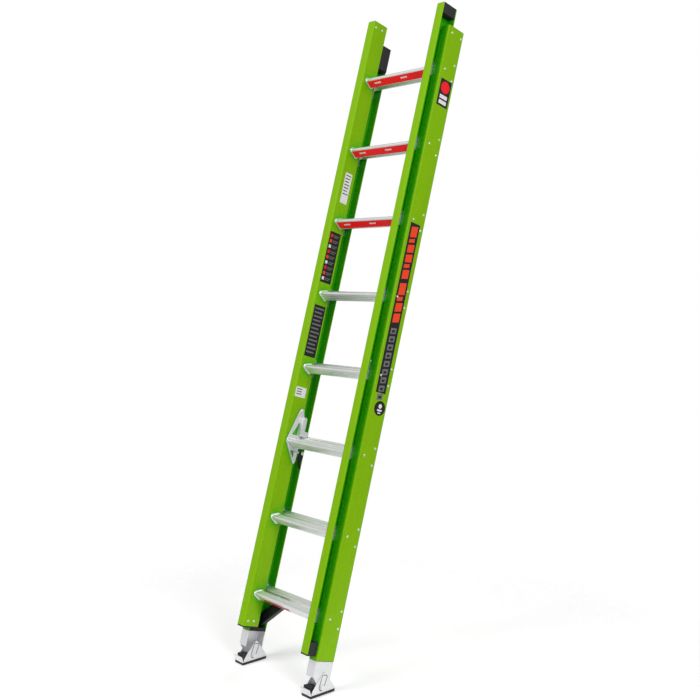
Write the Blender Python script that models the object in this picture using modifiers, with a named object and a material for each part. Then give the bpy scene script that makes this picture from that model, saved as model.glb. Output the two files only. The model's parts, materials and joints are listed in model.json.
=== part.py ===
"""Two-section extension ladder, closed and leaning at its working angle.

The sections are drawn upright in a ladder frame and then tipped back as one:
    X  across the ladder, the same as world X
    D  depth, from the front of the fly section back towards the wall
    U  up along the rails, with U = 0 at the height of the shoe pivots
An empty, ladder_frame, carries those axes, so a part's location is (X, D, U).
"""

import math

import bpy
import bmesh
from mathutils import Vector

# ---- Stance -------------------------------------------------------------
LEAN = math.radians(16.0)            # rails back from upright
PIVOT_HEIGHT = 0.028                 # shoe pivot above the floor

# ---- Rungs --------------------------------------------------------------
RUNG_PITCH = 0.3048                  # one foot
RUNG_COUNT = 8                       # in each section
FIRST_RUNG_U = 0.246                 # lowest rung above the shoe pivots
RUNG_DEPTH = 0.039                   # nose to back face
RUNG_BACK_HEIGHT = 0.0372            # back face, top to bottom
RUNG_ROUND = 0.007                   # corner radius of the rung's section
RUNG_WALL = 0.0018
RUNG_NOSE_DROP = 0.004               # nose below the rung's reference height
COLLAR_GROWTH = 0.004                # swaged collar around the rung
COLLAR_WIDTH = 0.0028
TUBE_LIP = 0.0004                    # tube end past the plate or collar
END_PLATE = 0.002                    # thickness of the plate at a rung's end
PLATE_LUG = 0.008                    # radius of a plate's rivet lugs
LUG_RISE = 0.0315                    # upper lug above the rung's reference height
LUG_DROP = 0.0325
FLY_LUG_FRONT = 0.003                # front lug ahead of the rung's nose
FLY_LUG_BACK = 0.002                 # back lugs behind the rung
BASE_LUG_FRONT = 0.015
BASE_LUG_BACK = -0.006
BASE_LUG_SINK = 0.0169               # base lugs lower on the rung than the fly's

# ---- Fly section, in front ----------------------------------------------
FLY_INNER_HALF = 0.1775              # centre to the fly webs' inner face
FLY_WALL = 0.0038
FLY_FLANGE = 0.040
FLY_LUG_SPACE = 0.0032               # back lugs to the rear flange
FLY_BELOW_RUNG = 0.1345              # rail below the lowest rung
FLY_ABOVE_RUNG = 0.2514              # rail above the highest rung
FLY_NOSE_D = 0.019                   # front of the fly's rungs

# ---- Base section, behind -----------------------------------------------
BASE_WALL = 0.0042
RUNG_END_SPACE = 0.0021              # fly rungs' ends to the base's flange tips
WEB_SPACING = 0.0135                 # base web past the tips of the fly's flanges
INTERLOCK = 0.0362                   # how far the base's front reaches into the fly
COLLAR_SPACE = 0.001                 # base rungs' collars to its rear flange
BASE_BELOW_RUNG = 0.1534
BASE_ABOVE_RUNG = 0.1729
RUNG_CLEARANCE = 0.003               # fly's back to the front of the base's rungs

RAIL_ROUND = 0.005                   # outer corners of the rails
GAP = 0.0003                         # between pieces that touch
SLIDE_GAP = 0.0008                   # between pieces that slide
ROOT = 0.002                         # how far a joined piece reaches into its mate
HOLE_GAP = 0.0004                    # around a rung in its hole

# ---- Plastic guides -----------------------------------------------------
BASE_GUIDE_LENGTH = 0.101
BASE_GUIDE_LIP = 0.009               # stands in past the flange tips
FLY_CAP_LENGTH = 0.042
FLY_GUIDE_LENGTH = 0.050
FLY_END_PLATE = 0.0038

# ---- Braces and feet ----------------------------------------------------
BRACE_HEIGHT = 0.056                 # strut, measured along U
BRACE_RISE = 0.054                   # its upper edge at the rail, above its foot
BRACE_DEPTH = 0.021
BRACE_REACH = 0.121                  # centre line to the strut's upper edge
BRACE_PAD = 0.053                    # width under the rung
PIVOT_AHEAD = 0.0362                 # shoe pivot ahead of the base's back
BOOT_EXTRA = 0.0005                  # boot's wall beyond the rail's, for its tongue
BOOT_FRONT_U = 0.038
BOOT_BACK_U = 0.034
BOOT_LUG = 0.012
TONGUE_WALL = 0.003
TONGUE_LENGTH = 0.058
TONGUE_MARGIN = 0.010
SHOE_WALL = 0.0034
SHOE_FRONT = 0.056                   # ahead of the pivot
SHOE_BACK = 0.060                    # behind the pivot
SHOE_TOE = 0.006                     # how far the spur leans forward
SHOE_TOE_RISE = 0.021
EAR_ROUND = 0.006                    # corners of the shoe's side plates
EAR_TOP = (0.012, 0.045)             # top corner's centre, from the pivot
PAD_THICK = 0.0100
BOLT_RADIUS = 0.004
BOLT_HEAD_RADIUS = 0.0085
BOLT_HEAD = 0.0042

# ---- Rung locks ---------------------------------------------------------
LOCK_RUNG = 2                        # third rung from the bottom
LOCK_PLATE = 0.006
LOCK_BOLT_AHEAD = 0.0205             # bolt ahead of the bracket's back edge
LOCK_BOLT_RISE = 0.123
LOCK_BOSS = 0.010
LOCK_DROP = 0.090
LOCK_NOSE_WEB = 0.0055               # metal in front of the collar
HOOK_EDGE = 0.0005                   # bracket's edge behind the hook's boss
HOOK_PIVOT_RISE = 0.090
HOOK_WIDTH = 0.019
HOOK_TOE_REACH = 0.020               # toe past the nose of the base's rung
HOOK_TOE_LENGTH = 0.0175
HOOK_TOE_HEIGHT = 0.018
HOOK_LEG_LIFT = 0.004                # leg's front corner above its sole
FLIPPER_DROP = 0.043
FLIPPER_WIDTH = 0.014
FLIPPER_NECK = 0.012                 # boss's centre to the start of the tail
FLIPPER_TAIL = 0.050                 # tail, measured along U
FLIPPER_HOLLOW = 22.0                # half the turn of its back edge, in degrees
FLIPPER_CLEARANCE = 0.001            # tip ahead of the base's rungs
FLIPPER_BOSS = 0.0075
FLIPPER_EDGE = 0.001                 # bracket's edge behind the flipper's boss
PIN_RADIUS = 0.0038
PIN_HEAD_RADIUS = 0.0068
PIN_HEAD = 0.0024
SPRING_RADIUS = 0.0058
SPRING_WIRE = 0.0006
SPRING_TURNS = 3

# ---- Colours ------------------------------------------------------------
GREEN = (0.27, 0.54, 0.004)
ALUMINIUM = (0.72, 0.73, 0.74)
CAST_ALUMINIUM = (0.62, 0.63, 0.65)
STEEL = (0.55, 0.56, 0.58)
BLACK_PLASTIC = (0.012, 0.012, 0.014)
BLACK_STEEL = (0.018, 0.018, 0.020)
RUBBER = (0.015, 0.015, 0.015)

SIDES = (("left", -1), ("right", 1))
ALONG_X = (math.pi / 2, 0.0, math.pi / 2)    # outline (D, U), thickness on X
FACING_D = (math.pi / 2, 0.0, 0.0)           # outline (X, U), thickness on D

# ---- Derived ------------------------------------------------------------
RUNG_SLOPE = math.tan(LEAN)          # a level tread rises towards the back
FLY_LUGS = ((-FLY_LUG_FRONT, 0.0), (RUNG_DEPTH + FLY_LUG_BACK, LUG_RISE),
            (RUNG_DEPTH + FLY_LUG_BACK, -LUG_DROP))
FLY_DEPTH = FLY_NOSE_D + FLY_LUGS[1][0] + PLATE_LUG + FLY_LUG_SPACE + FLY_WALL
FLY_OUTER_HALF = FLY_INNER_HALF + FLY_WALL
FLY_TIP = FLY_INNER_HALF + FLY_FLANGE
FLY_BOTTOM_U = FIRST_RUNG_U - FLY_BELOW_RUNG
TOP_RUNG_U = FIRST_RUNG_U + (RUNG_COUNT - 1) * RUNG_PITCH
FLY_TOP_U = TOP_RUNG_U + FLY_ABOVE_RUNG
BASE_HALF = FLY_TIP + WEB_SPACING    # centre to the base webs' outer face
FLY_RUNG_HALF = FLY_OUTER_HALF + GAP + END_PLATE + COLLAR_WIDTH
BASE_TIP = FLY_RUNG_HALF + RUNG_END_SPACE
BASE_FLANGE = BASE_HALF - BASE_TIP
BASE_FRONT_D = FLY_DEPTH - INTERLOCK
BASE_BOTTOM_U = FIRST_RUNG_U - BASE_BELOW_RUNG
BASE_TOP_U = TOP_RUNG_U + BASE_ABOVE_RUNG
BASE_NOSE_D = FLY_DEPTH + RUNG_CLEARANCE
BASE_RUNG_RISE = (BASE_NOSE_D - FLY_NOSE_D) * RUNG_SLOPE    # keeps treads level
BASE_LUGS = ((-BASE_LUG_FRONT, -BASE_LUG_SINK),
             (RUNG_DEPTH + BASE_LUG_BACK, LUG_RISE - BASE_LUG_SINK),
             (RUNG_DEPTH + BASE_LUG_BACK, -LUG_DROP - BASE_LUG_SINK))
BASE_INNER_HALF = BASE_HALF - BASE_WALL
BASE_BACK_D = BASE_NOSE_D + RUNG_DEPTH + COLLAR_GROWTH + COLLAR_SPACE + BASE_WALL
PIVOT_D = BASE_BACK_D - PIVOT_AHEAD
BOOT_WALL = BASE_WALL + BOOT_EXTRA
FRONT_FLANGE_BACK_D = BASE_FRONT_D + BASE_WALL
BACK_FLANGE_FRONT_D = BASE_BACK_D - BASE_WALL
LOCK_U = FIRST_RUNG_U + LOCK_RUNG * RUNG_PITCH
LOCK_BACK_D = FLY_DEPTH + RUNG_CLEARANCE / 2.0
LOCK_BOLT_D = LOCK_BACK_D - LOCK_BOLT_AHEAD
HOOK_PIVOT_D = LOCK_BACK_D - LOCK_BOSS - HOOK_EDGE
HOOK_TOE_D = BASE_NOSE_D + HOOK_TOE_REACH
FLIPPER_PIVOT_D = LOCK_BACK_D - FLIPPER_BOSS - FLIPPER_EDGE
TONGUE_INNER = BASE_INNER_HALF - GAP - TONGUE_WALL
PAD_TOP = -PIVOT_HEIGHT + PAD_THICK


# ======== Scene and materials ============================================

def clear_scene():
    """Remove every object that is in the scene."""
    for old in list(bpy.data.objects):
        bpy.data.objects.remove(old, do_unlink=True)


def new_collection(name):
    """A collection linked to the scene."""
    group = bpy.data.collections.new(name)
    bpy.context.scene.collection.children.link(group)
    return group


def new_material(name, colour, roughness, metallic):
    """A Principled material with one colour."""
    material = bpy.data.materials.new(name)
    material.use_nodes = True
    shader = material.node_tree.nodes["Principled BSDF"]
    shader.inputs["Base Color"].default_value = (*colour, 1.0)
    shader.inputs["Roughness"].default_value = roughness
    shader.inputs["Metallic"].default_value = metallic
    material.diffuse_color = (*colour, 1.0)
    return material


def new_empty(name, location, rotation, parent, group):
    """An empty that carries a frame or a joint's axis."""
    empty = bpy.data.objects.new(name, None)
    empty.empty_display_size = 0.05
    empty.location = location
    empty.rotation_euler = rotation
    empty.parent = parent
    group.objects.link(empty)
    return empty


# ======== Outlines =======================================================

def arc(centre, radius, start, end, steps):
    """Points along an arc; the angles are in degrees."""
    points = []
    for i in range(steps + 1):
        angle = math.radians(start + (end - start) * i / steps)
        x = centre[0] + radius * math.cos(angle)
        y = centre[1] + radius * math.sin(angle)
        points.append((x, y))
    return points


def rounded(corners, steps=4):
    """An outline from (x, y, radius) corners, each rounded by an arc."""
    points = []
    count = len(corners)
    for i, (x, y, radius) in enumerate(corners):
        here = Vector((x, y))
        before = (Vector(corners[i - 1][:2]) - here).normalized()
        after = (Vector(corners[(i + 1) % count][:2]) - here).normalized()
        if radius <= 0.0:
            points.append((x, y))
            continue
        half = before.angle(after) / 2.0
        centre = here + (before + after).normalized() * (radius / math.sin(half))
        first = here + before * (radius / math.tan(half)) - centre
        last = here + after * (radius / math.tan(half)) - centre
        start = math.atan2(first.y, first.x)
        turn = math.atan2(last.y, last.x) - start
        turn = (turn + math.pi) % (2.0 * math.pi) - math.pi
        for k in range(steps + 1):
            angle = start + turn * k / steps
            px = centre.x + radius * math.cos(angle)
            py = centre.y + radius * math.sin(angle)
            points.append((px, py))
    return points


def around(circles, steps=3):
    """The outline around a ring of (x, y, radius) circles, counterclockwise."""
    count = len(circles)
    directions = []
    for i in range(count):
        ax, ay, ar = circles[i]
        bx, by, br = circles[(i + 1) % count]
        length = math.hypot(bx - ax, by - ay)
        heading = math.atan2(by - ay, bx - ax)
        swing = math.asin((ar - br) / length)
        directions.append(heading - math.pi / 2.0 + swing)
    points = []
    for i, (x, y, radius) in enumerate(circles):
        start = directions[i - 1]
        turn = (directions[i] - start) % (2.0 * math.pi)
        for k in range(steps + 1):
            angle = start + turn * k / steps
            px = x + radius * math.cos(angle)
            py = y + radius * math.sin(angle)
            points.append((px, py))
    return points


def rung_section(nose_d, growth=0.0, steps=2):
    """The rung's three-cornered section as (D, U), grown by an offset."""
    r = RUNG_ROUND
    nose = (nose_d + r, -RUNG_NOSE_DROP)
    back = nose_d + RUNG_DEPTH - r
    top = nose[1] + (back - nose[0]) * RUNG_SLOPE
    low = top - (RUNG_BACK_HEIGHT - 2.0 * r)
    ring = ((nose[0], nose[1]), (back, low), (back, top))
    return around([(d, u, r + growth) for d, u in ring], steps)


def tread_height(nose_d, d):
    """Height of the tread's surface at depth d, above the rung's reference."""
    rise = (d - nose_d - RUNG_ROUND) * RUNG_SLOPE
    return rise - RUNG_NOSE_DROP + RUNG_ROUND / math.cos(LEAN)


def channel(side, web_outer, web_inner, tip, front, back, wall, corner):
    """A rail's C-section as (X, D). side is -1 or 1."""
    fillet = wall * 0.6
    ring = [
        (web_outer, front, corner),
        (tip, front, wall * 0.35),
        (tip, front + wall, wall * 0.35),
        (web_inner, front + wall, fillet),
        (web_inner, back - wall, fillet),
        (tip, back - wall, wall * 0.35),
        (tip, back, wall * 0.35),
        (web_outer, back, corner),
    ]
    return rounded([(side * x, d, r) for x, d, r in ring], 3)


# ======== Solids =========================================================

class Workshop:
    """Makes objects and keeps them in the right collection."""

    def __init__(self, parts, cutters):
        self.parts = parts
        self.cutters = cutters

    def slab(self, name, outlines, thickness, place, turn, parent, material=None):
        """A flat piece: closed outlines, the later ones holes, with a thickness."""
        curve = bpy.data.curves.new(name, "CURVE")
        curve.dimensions = "2D"
        curve.fill_mode = "BOTH"
        curve.extrude = thickness / 2.0
        for outline in outlines:
            spline = curve.splines.new("POLY")
            spline.points.add(len(outline) - 1)
            for point, (x, y) in zip(spline.points, outline):
                point.co = (x, y, 0.0, 1.0)
            spline.use_cyclic_u = True
        source = bpy.data.objects.new(name + "_outline", curve)
        self.cutters.objects.link(source)
        bpy.context.view_layer.update()
        graph = bpy.context.evaluated_depsgraph_get()
        mesh = bpy.data.meshes.new_from_object(source.evaluated_get(graph))
        bpy.data.objects.remove(source, do_unlink=True)
        welder = bmesh.new()
        welder.from_mesh(mesh)
        bmesh.ops.remove_doubles(welder, verts=welder.verts, dist=1e-6)
        bmesh.ops.recalc_face_normals(welder, faces=welder.faces)
        welder.to_mesh(mesh)
        welder.free()
        return self.add(name, mesh, place, turn, parent, material)

    def turned(self, name, profile, place, turn, parent, material=None, steps=16):
        """A turned piece: (radius, height) points from the top down."""
        shape = bmesh.new()
        points = [shape.verts.new((r, 0.0, z)) for r, z in profile]
        for above, below in zip(points, points[1:]):
            shape.edges.new((above, below))
        mesh = bpy.data.meshes.new(name)
        shape.to_mesh(mesh)
        shape.free()
        piece = self.add(name, mesh, place, turn, parent, material)
        screw = piece.modifiers.new("Turn", "SCREW")
        screw.axis = "Z"
        screw.steps = steps
        screw.render_steps = steps
        screw.use_merge_vertices = True
        screw.merge_threshold = 0.00001
        screw.use_smooth_shade = False
        return piece

    def add(self, name, mesh, place, turn, parent, material):
        """Link a mesh as a named object. No material means a cutter."""
        piece = bpy.data.objects.new(name, mesh)
        piece.location = place
        piece.rotation_euler = turn
        piece.parent = parent
        if material is None:
            piece.hide_render = True
            piece.display_type = "WIRE"
            self.cutters.objects.link(piece)
            return piece
        if not mesh.materials:
            mesh.materials.append(material)
        self.parts.objects.link(piece)
        return piece

    def combine(self, piece, other, operation):
        """Join a cutter to a piece, or cut it away."""
        step = piece.modifiers.new(operation.title(), "BOOLEAN")
        step.operation = operation
        step.solver = "EXACT"
        step.object = other

    def cut_all(self, piece, others):
        """Cut several cutters away in one step."""
        group = bpy.data.collections.new(piece.name + "_cuts")
        self.cutters.children.link(group)
        for other in others:
            group.objects.link(other)
            self.cutters.objects.unlink(other)
        step = piece.modifiers.new("Cuts", "BOOLEAN")
        step.operation = "DIFFERENCE"
        step.solver = "EXACT"
        step.operand_type = "COLLECTION"
        step.collection = group

    def settled(self, piece):
        """The piece's finished mesh, in the piece's own axes."""
        bpy.context.view_layer.update()
        graph = bpy.context.evaluated_depsgraph_get()
        return bpy.data.meshes.new_from_object(piece.evaluated_get(graph))


# ======== Rails ==========================================================

def build_rails(shop, frame, paint):
    """The four fibreglass rails. Rung holes go through the fly's webs only."""
    fly_length = FLY_TOP_U - FLY_BOTTOM_U
    base_length = BASE_TOP_U - BASE_BOTTOM_U
    fly_middle = (FLY_TOP_U + FLY_BOTTOM_U) / 2.0
    base_middle = (BASE_TOP_U + BASE_BOTTOM_U) / 2.0
    for label, side in SIDES:
        section = channel(side, FLY_INNER_HALF, FLY_OUTER_HALF, FLY_TIP,
                          0.0, FLY_DEPTH, FLY_WALL, RAIL_ROUND)
        rail = shop.slab("fly_rail_" + label, [section], fly_length,
                         (0.0, 0.0, fly_middle), (0.0, 0.0, 0.0), frame, paint)
        section = channel(side, BASE_HALF, BASE_INNER_HALF, BASE_TIP,
                          BASE_FRONT_D, BASE_BACK_D, BASE_WALL, RAIL_ROUND)
        shop.slab("base_rail_" + label, [section], base_length,
                  (0.0, 0.0, base_middle), (0.0, 0.0, 0.0), frame, paint)
        web_middle = side * (FLY_INNER_HALF + FLY_OUTER_HALF) / 2.0
        holes = []
        for number in range(RUNG_COUNT):
            height = FIRST_RUNG_U + number * RUNG_PITCH
            holes.append(shop.slab(f"hole_{label}_{number + 1}",
                                   [rung_section(FLY_NOSE_D, HOLE_GAP)],
                                   FLY_WALL * 2.0, (web_middle, 0.0, height),
                                   ALONG_X, frame))
        holes.append(shop.turned(
            f"lock_bolt_hole_{label}",
            cylinder_profile(BOLT_RADIUS + GAP, FLY_WALL * 2.0),
            (web_middle, LOCK_BOLT_D, LOCK_U + LOCK_BOLT_RISE), ALONG_X, frame))
        shop.cut_all(rail, holes)


def cylinder_profile(radius, length):
    """A plain cylinder about its middle, as a turned profile."""
    half = length / 2.0
    return [(0.0, half), (radius, half), (radius, -half), (0.0, -half)]


# ======== Rungs ==========================================================

def ring_piece(shop, name, nose_d, growth, width, x, frame):
    """A swaged ring around the rung, rooted in its wall, ready to be joined."""
    outlines = [rung_section(nose_d, growth), rung_section(nose_d, -0.3 * RUNG_WALL)]
    return shop.slab(name, outlines, width, (x, 0.0, 0.0), ALONG_X, frame)


def rung_mesh(shop, frame, name, nose_d, half_length, plate_inner, lugs, collars,
              material):
    """One rung: a hollow tube with swaged collars and a plate at each end."""
    tube = shop.slab(name + "_tube",
                     [rung_section(nose_d), rung_section(nose_d, -RUNG_WALL)],
                     2.0 * half_length, (0.0, 0.0, 0.0), ALONG_X, frame, material)
    ring = [(nose_d + d, u, PLATE_LUG) for d, u in lugs]
    plate_outline = around([ring[0], ring[2], ring[1]])
    for label, side in SIDES:
        centre = side * (plate_inner + END_PLATE / 2.0)
        plate = shop.slab(f"{name}_plate_{label}",
                          [plate_outline, rung_section(nose_d, -0.6 * RUNG_WALL)],
                          END_PLATE, (centre, 0.0, 0.0), ALONG_X, frame)
        shop.combine(tube, plate, "UNION")
        for index, (start, end) in enumerate(collars):
            middle = side * (start + end) / 2.0
            collar = ring_piece(shop, f"{name}_collar_{label}_{index}", nose_d,
                                COLLAR_GROWTH, end - start, middle, frame)
            shop.combine(tube, collar, "UNION")
    mesh = shop.settled(tube)
    bpy.data.objects.remove(tube, do_unlink=True)
    return mesh


def build_rungs(shop, frame, metal):
    """Eight rungs in each section, each section's sharing one mesh."""
    overlap = END_PLATE / 2.0
    fly_plate = FLY_OUTER_HALF + GAP
    fly_end = FLY_RUNG_HALF
    fly_collars = ((FLY_INNER_HALF - GAP - COLLAR_WIDTH, FLY_INNER_HALF - GAP),
                   (fly_plate + overlap, fly_end - TUBE_LIP))
    base_end = BASE_INNER_HALF - GAP
    base_plate = base_end - TUBE_LIP - END_PLATE
    base_collars = ((base_plate - COLLAR_WIDTH, base_plate + overlap),)
    kinds = (
        ("fly", FLY_NOSE_D, 0.0, fly_end, fly_plate, FLY_LUGS, fly_collars),
        ("base", BASE_NOSE_D, BASE_RUNG_RISE, base_end, base_plate, BASE_LUGS,
         base_collars),
    )
    for kind, nose_d, rise, half_length, plate, lugs, collars in kinds:
        mesh = rung_mesh(shop, frame, kind + "_rung", nose_d, half_length, plate,
                         lugs, collars, metal)
        for number in range(RUNG_COUNT):
            height = FIRST_RUNG_U + number * RUNG_PITCH + rise
            shop.add(f"{kind}_rung_{number + 1}", mesh, (0.0, 0.0, height),
                     ALONG_X, frame, metal)


# ======== Guides =========================================================

def build_guides(shop, frame, plastic):
    """Plastic guides that keep the two sections square to each other."""
    for label, side in SIDES:
        inner = BASE_TIP - BASE_GUIDE_LIP
        front = FLY_DEPTH + SLIDE_GAP
        back = BACK_FLANGE_FRONT_D - GAP
        outer = BASE_INNER_HALF - GAP
        corners = [(inner, front, 0.002), (outer, front, 0.001),
                   (outer, back, BASE_WALL), (inner, back, 0.004)]
        outline = rounded([(side * x, d, r) for x, d, r in corners], 3)
        height = BASE_TOP_U - BASE_GUIDE_LENGTH / 2.0
        shop.slab("base_top_guide_" + label, [outline], BASE_GUIDE_LENGTH,
                  (0.0, 0.0, height), (0.0, 0.0, 0.0), frame, plastic)

        near = FLY_OUTER_HALF + GAP
        front = FLY_WALL + GAP
        back = FLY_DEPTH - FLY_WALL - GAP
        corners = [(near, front, FLY_WALL * 0.8), (FLY_TIP - GAP, front, 0.002),
                   (FLY_TIP - GAP, back, 0.002), (near, back, FLY_WALL * 0.8)]
        outline = rounded([(side * x, d, r) for x, d, r in corners], 3)
        height = FLY_TOP_U - FLY_CAP_LENGTH / 2.0
        shop.slab("fly_top_cap_" + label, [outline], FLY_CAP_LENGTH,
                  (0.0, 0.0, height), (0.0, 0.0, 0.0), frame, plastic)
        build_fly_guide(shop, frame, plastic, label, side, near, front, back)


def build_fly_guide(shop, frame, plastic, label, side, near, front, back):
    """The block in the foot of a fly rail, slotted for the base's flange."""
    slot_front = BASE_FRONT_D - SLIDE_GAP
    slot_back = FRONT_FLANGE_BACK_D + SLIDE_GAP
    slot_end = BASE_TIP - SLIDE_GAP
    wide = FLY_TIP + FLY_WALL
    corners = [(near, front, 0.002), (FLY_TIP + GAP, front, 0.0),
               (wide, front + FLY_WALL, 0.002),
               (wide, slot_front, 0.001), (slot_end, slot_front, 0.0005),
               (slot_end, slot_back, 0.0005), (FLY_TIP - GAP, slot_back, 0.001),
               (FLY_TIP - GAP, back, 0.002), (near, back, 0.002)]
    block_outline = rounded([(side * x, d, r) for x, d, r in corners], 3)
    low = FLY_BOTTOM_U - FLY_END_PLATE - GAP
    start = low + ROOT / 4.0
    high = low + FLY_GUIDE_LENGTH
    guide = shop.slab("fly_bottom_guide_" + label, [block_outline], high - start,
                      (0.0, 0.0, (start + high) / 2.0), (0.0, 0.0, 0.0), frame,
                      plastic)
    overlap = ROOT / 2.0
    cap_outline = channel(side, FLY_INNER_HALF, FLY_OUTER_HALF + overlap, FLY_TIP,
                          0.0, FLY_DEPTH, FLY_WALL + overlap, RAIL_ROUND)
    middle = low + FLY_END_PLATE / 2.0
    cap = shop.slab("fly_end_plate_" + label, [cap_outline], FLY_END_PLATE,
                    (0.0, 0.0, middle), (0.0, 0.0, 0.0), frame)
    shop.combine(guide, cap, "UNION")


# ======== Braces and feet ================================================

def build_braces(shop, frame, steel):
    """Diagonal braces under the lowest base rung, with a block at the rail."""
    rung_low = min(u for _, u in rung_section(BASE_NOSE_D))
    top = FIRST_RUNG_U + BASE_RUNG_RISE + rung_low - GAP
    bottom = BASE_BOTTOM_U + GAP
    outer = TONGUE_INNER - GAP
    block_top = FLY_BOTTOM_U - FLY_END_PLATE - 2.0 * GAP
    block_inner = BASE_TIP + GAP
    back = BASE_NOSE_D + RUNG_DEPTH
    for label, side in SIDES:
        upper = (outer, bottom + BRACE_RISE)
        slope = (top - upper[1]) / (outer - BRACE_REACH)
        drop = BRACE_HEIGHT
        low_start = outer - (bottom - (upper[1] - drop)) / slope
        low_end = BRACE_REACH - BRACE_PAD
        low_end_u = upper[1] - drop + (outer - low_end) * slope
        low_end_u = min(low_end_u, top - 0.004)
        corners = [(outer, bottom + ROOT / 4.0), (low_start, bottom + ROOT / 4.0),
                   (low_end, low_end_u), (low_end, top), (BRACE_REACH, top), upper]
        outline = [(side * x, u) for x, u in corners]
        middle = back - BRACE_DEPTH / 2.0
        brace = shop.slab("rung_brace_" + label, [outline], BRACE_DEPTH,
                          (0.0, middle, 0.0), FACING_D, frame, steel)
        near = FRONT_FLANGE_BACK_D + GAP
        far = BACK_FLANGE_FRONT_D - GAP
        edge = outer - ROOT / 4.0
        corners = [(edge, near, 0.0025), (block_inner, near, 0.0),
                   (block_inner, far, 0.0), (edge, far, 0.0025)]
        outline = rounded([(side * x, d, r) for x, d, r in corners], 3)
        middle = (bottom + block_top) / 2.0
        block = shop.slab("brace_block_" + label, [outline], block_top - bottom,
                          (0.0, 0.0, middle), (0.0, 0.0, 0.0), frame)
        shop.combine(brace, block, "UNION")


def build_boots(shop, frame, metal):
    """Aluminium boots that carry the base rails down to the shoe pivots."""
    top = BASE_BOTTOM_U - GAP
    bottom = -BOOT_LUG - ROOT
    side_view = [(BASE_FRONT_D - ROOT, top + ROOT),
                 (BASE_FRONT_D - ROOT, BOOT_FRONT_U)]
    side_view += arc((PIVOT_D, 0.0), BOOT_LUG, 215.0, 325.0, 8)
    side_view += [(BASE_BACK_D + ROOT, BOOT_BACK_U), (BASE_BACK_D + ROOT, top + ROOT)]
    near = FRONT_FLANGE_BACK_D + TONGUE_MARGIN
    far = BACK_FLANGE_FRONT_D - TONGUE_MARGIN
    high = top + TONGUE_LENGTH
    corners = [(near, BOOT_FRONT_U, 0.004), (far, BOOT_FRONT_U, 0.004),
               (far, high, 0.006), (near, high, 0.006)]
    for label, side in SIDES:
        section = channel(side, BASE_HALF, BASE_HALF - BOOT_WALL, BASE_TIP,
                          BASE_FRONT_D, BASE_BACK_D, BOOT_WALL, RAIL_ROUND)
        boot = shop.slab("boot_" + label, [section], top - bottom,
                         (0.0, 0.0, (top + bottom) / 2.0), (0.0, 0.0, 0.0), frame,
                         metal)
        middle = side * (BASE_HALF + BASE_TIP) / 2.0
        shape = shop.slab("boot_shape_" + label, [side_view], 2.0 * BASE_FLANGE,
                          (middle, 0.0, 0.0), ALONG_X, frame)
        shop.combine(boot, shape, "INTERSECT")
        tongue_middle = side * (TONGUE_INNER + TONGUE_WALL / 2.0)
        tongue = shop.slab("boot_tongue_" + label, [rounded(corners, 3)],
                           TONGUE_WALL, (tongue_middle, 0.0, 0.0), ALONG_X, frame)
        shop.combine(boot, tongue, "UNION")
        hole = shop.turned("boot_hole_" + label,
                           cylinder_profile(BOLT_RADIUS + GAP, 0.04),
                           (side * BASE_HALF, PIVOT_D, 0.0), ALONG_X, frame)
        shop.combine(boot, hole, "DIFFERENCE")


def build_shoes(shop, frame, group, metal, rubber, steel):
    """Shoes that straddle the boots and stay flat, each turning on one bolt."""
    plate_top = PAD_TOP + GAP + SHOE_WALL
    ear_out = BASE_HALF + GAP + SHOE_WALL / 2.0
    ear_in = BASE_TIP - GAP - SHOE_WALL / 2.0
    middle = (ear_out + ear_in) / 2.0
    width = ear_out - ear_in + SHOE_WALL + ROOT / 2.0
    toe_top = plate_top + SHOE_TOE_RISE
    for label, side in SIDES:
        pivot = new_empty("shoe_pivot_" + label, (side * BASE_HALF, PIVOT_D, 0.0),
                          (LEAN, 0.0, 0.0), frame, group)
        shift = -side * BASE_HALF
        toe = [(-SHOE_FRONT, PAD_TOP + GAP), (SHOE_BACK, PAD_TOP + GAP),
               (SHOE_BACK, plate_top), (-SHOE_FRONT + SHOE_WALL, plate_top),
               (-SHOE_FRONT - SHOE_TOE + SHOE_WALL, toe_top),
               (-SHOE_FRONT - SHOE_TOE, toe_top)]
        shoe = shop.slab("shoe_" + label, [toe], width,
                         (shift + side * middle, 0.0, 0.0), ALONG_X, pivot, metal)
        low = PAD_TOP + GAP + EAR_ROUND + ROOT / 4.0
        plate = around([(-SHOE_FRONT + 2.0 * EAR_ROUND, low, EAR_ROUND),
                        (SHOE_BACK - 1.4 * EAR_ROUND, low, EAR_ROUND),
                        (*EAR_TOP, 1.5 * EAR_ROUND)])
        for place, x in (("outer", ear_out), ("inner", ear_in)):
            ear = shop.slab(f"shoe_ear_{place}_{label}", [plate], SHOE_WALL,
                            (shift + side * x, 0.0, 0.0), ALONG_X, pivot)
            shop.combine(shoe, ear, "UNION")
        hole = shop.turned("shoe_hole_" + label,
                           cylinder_profile(BOLT_RADIUS + GAP, 3.0 * BASE_FLANGE),
                           (0.0, 0.0, 0.0), ALONG_X, pivot)
        shop.combine(shoe, hole, "DIFFERENCE")
        corners = [(-SHOE_FRONT, -PIVOT_HEIGHT, 0.0025),
                   (SHOE_BACK, -PIVOT_HEIGHT, 0.0025),
                   (SHOE_BACK, PAD_TOP, 0.001), (-SHOE_FRONT, PAD_TOP, 0.001)]
        shop.slab("shoe_pad_" + label, [rounded(corners, 2)], width,
                  (shift + side * middle, 0.0, 0.0), ALONG_X, pivot, rubber)
        head = ear_out + SHOE_WALL / 2.0 + GAP
        nut = ear_in - SHOE_WALL / 2.0 - GAP
        profile = [(0.0, head + BOLT_HEAD), (BOLT_HEAD_RADIUS, head + BOLT_HEAD),
                   (BOLT_HEAD_RADIUS, head), (BOLT_RADIUS, head),
                   (BOLT_RADIUS, nut), (BOLT_HEAD_RADIUS, nut),
                   (BOLT_HEAD_RADIUS, nut - BOLT_HEAD), (0.0, nut - BOLT_HEAD)]
        add_pin(shop, "foot_bolt_" + label, profile, side, PIVOT_D, 0.0, frame, steel)


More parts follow.
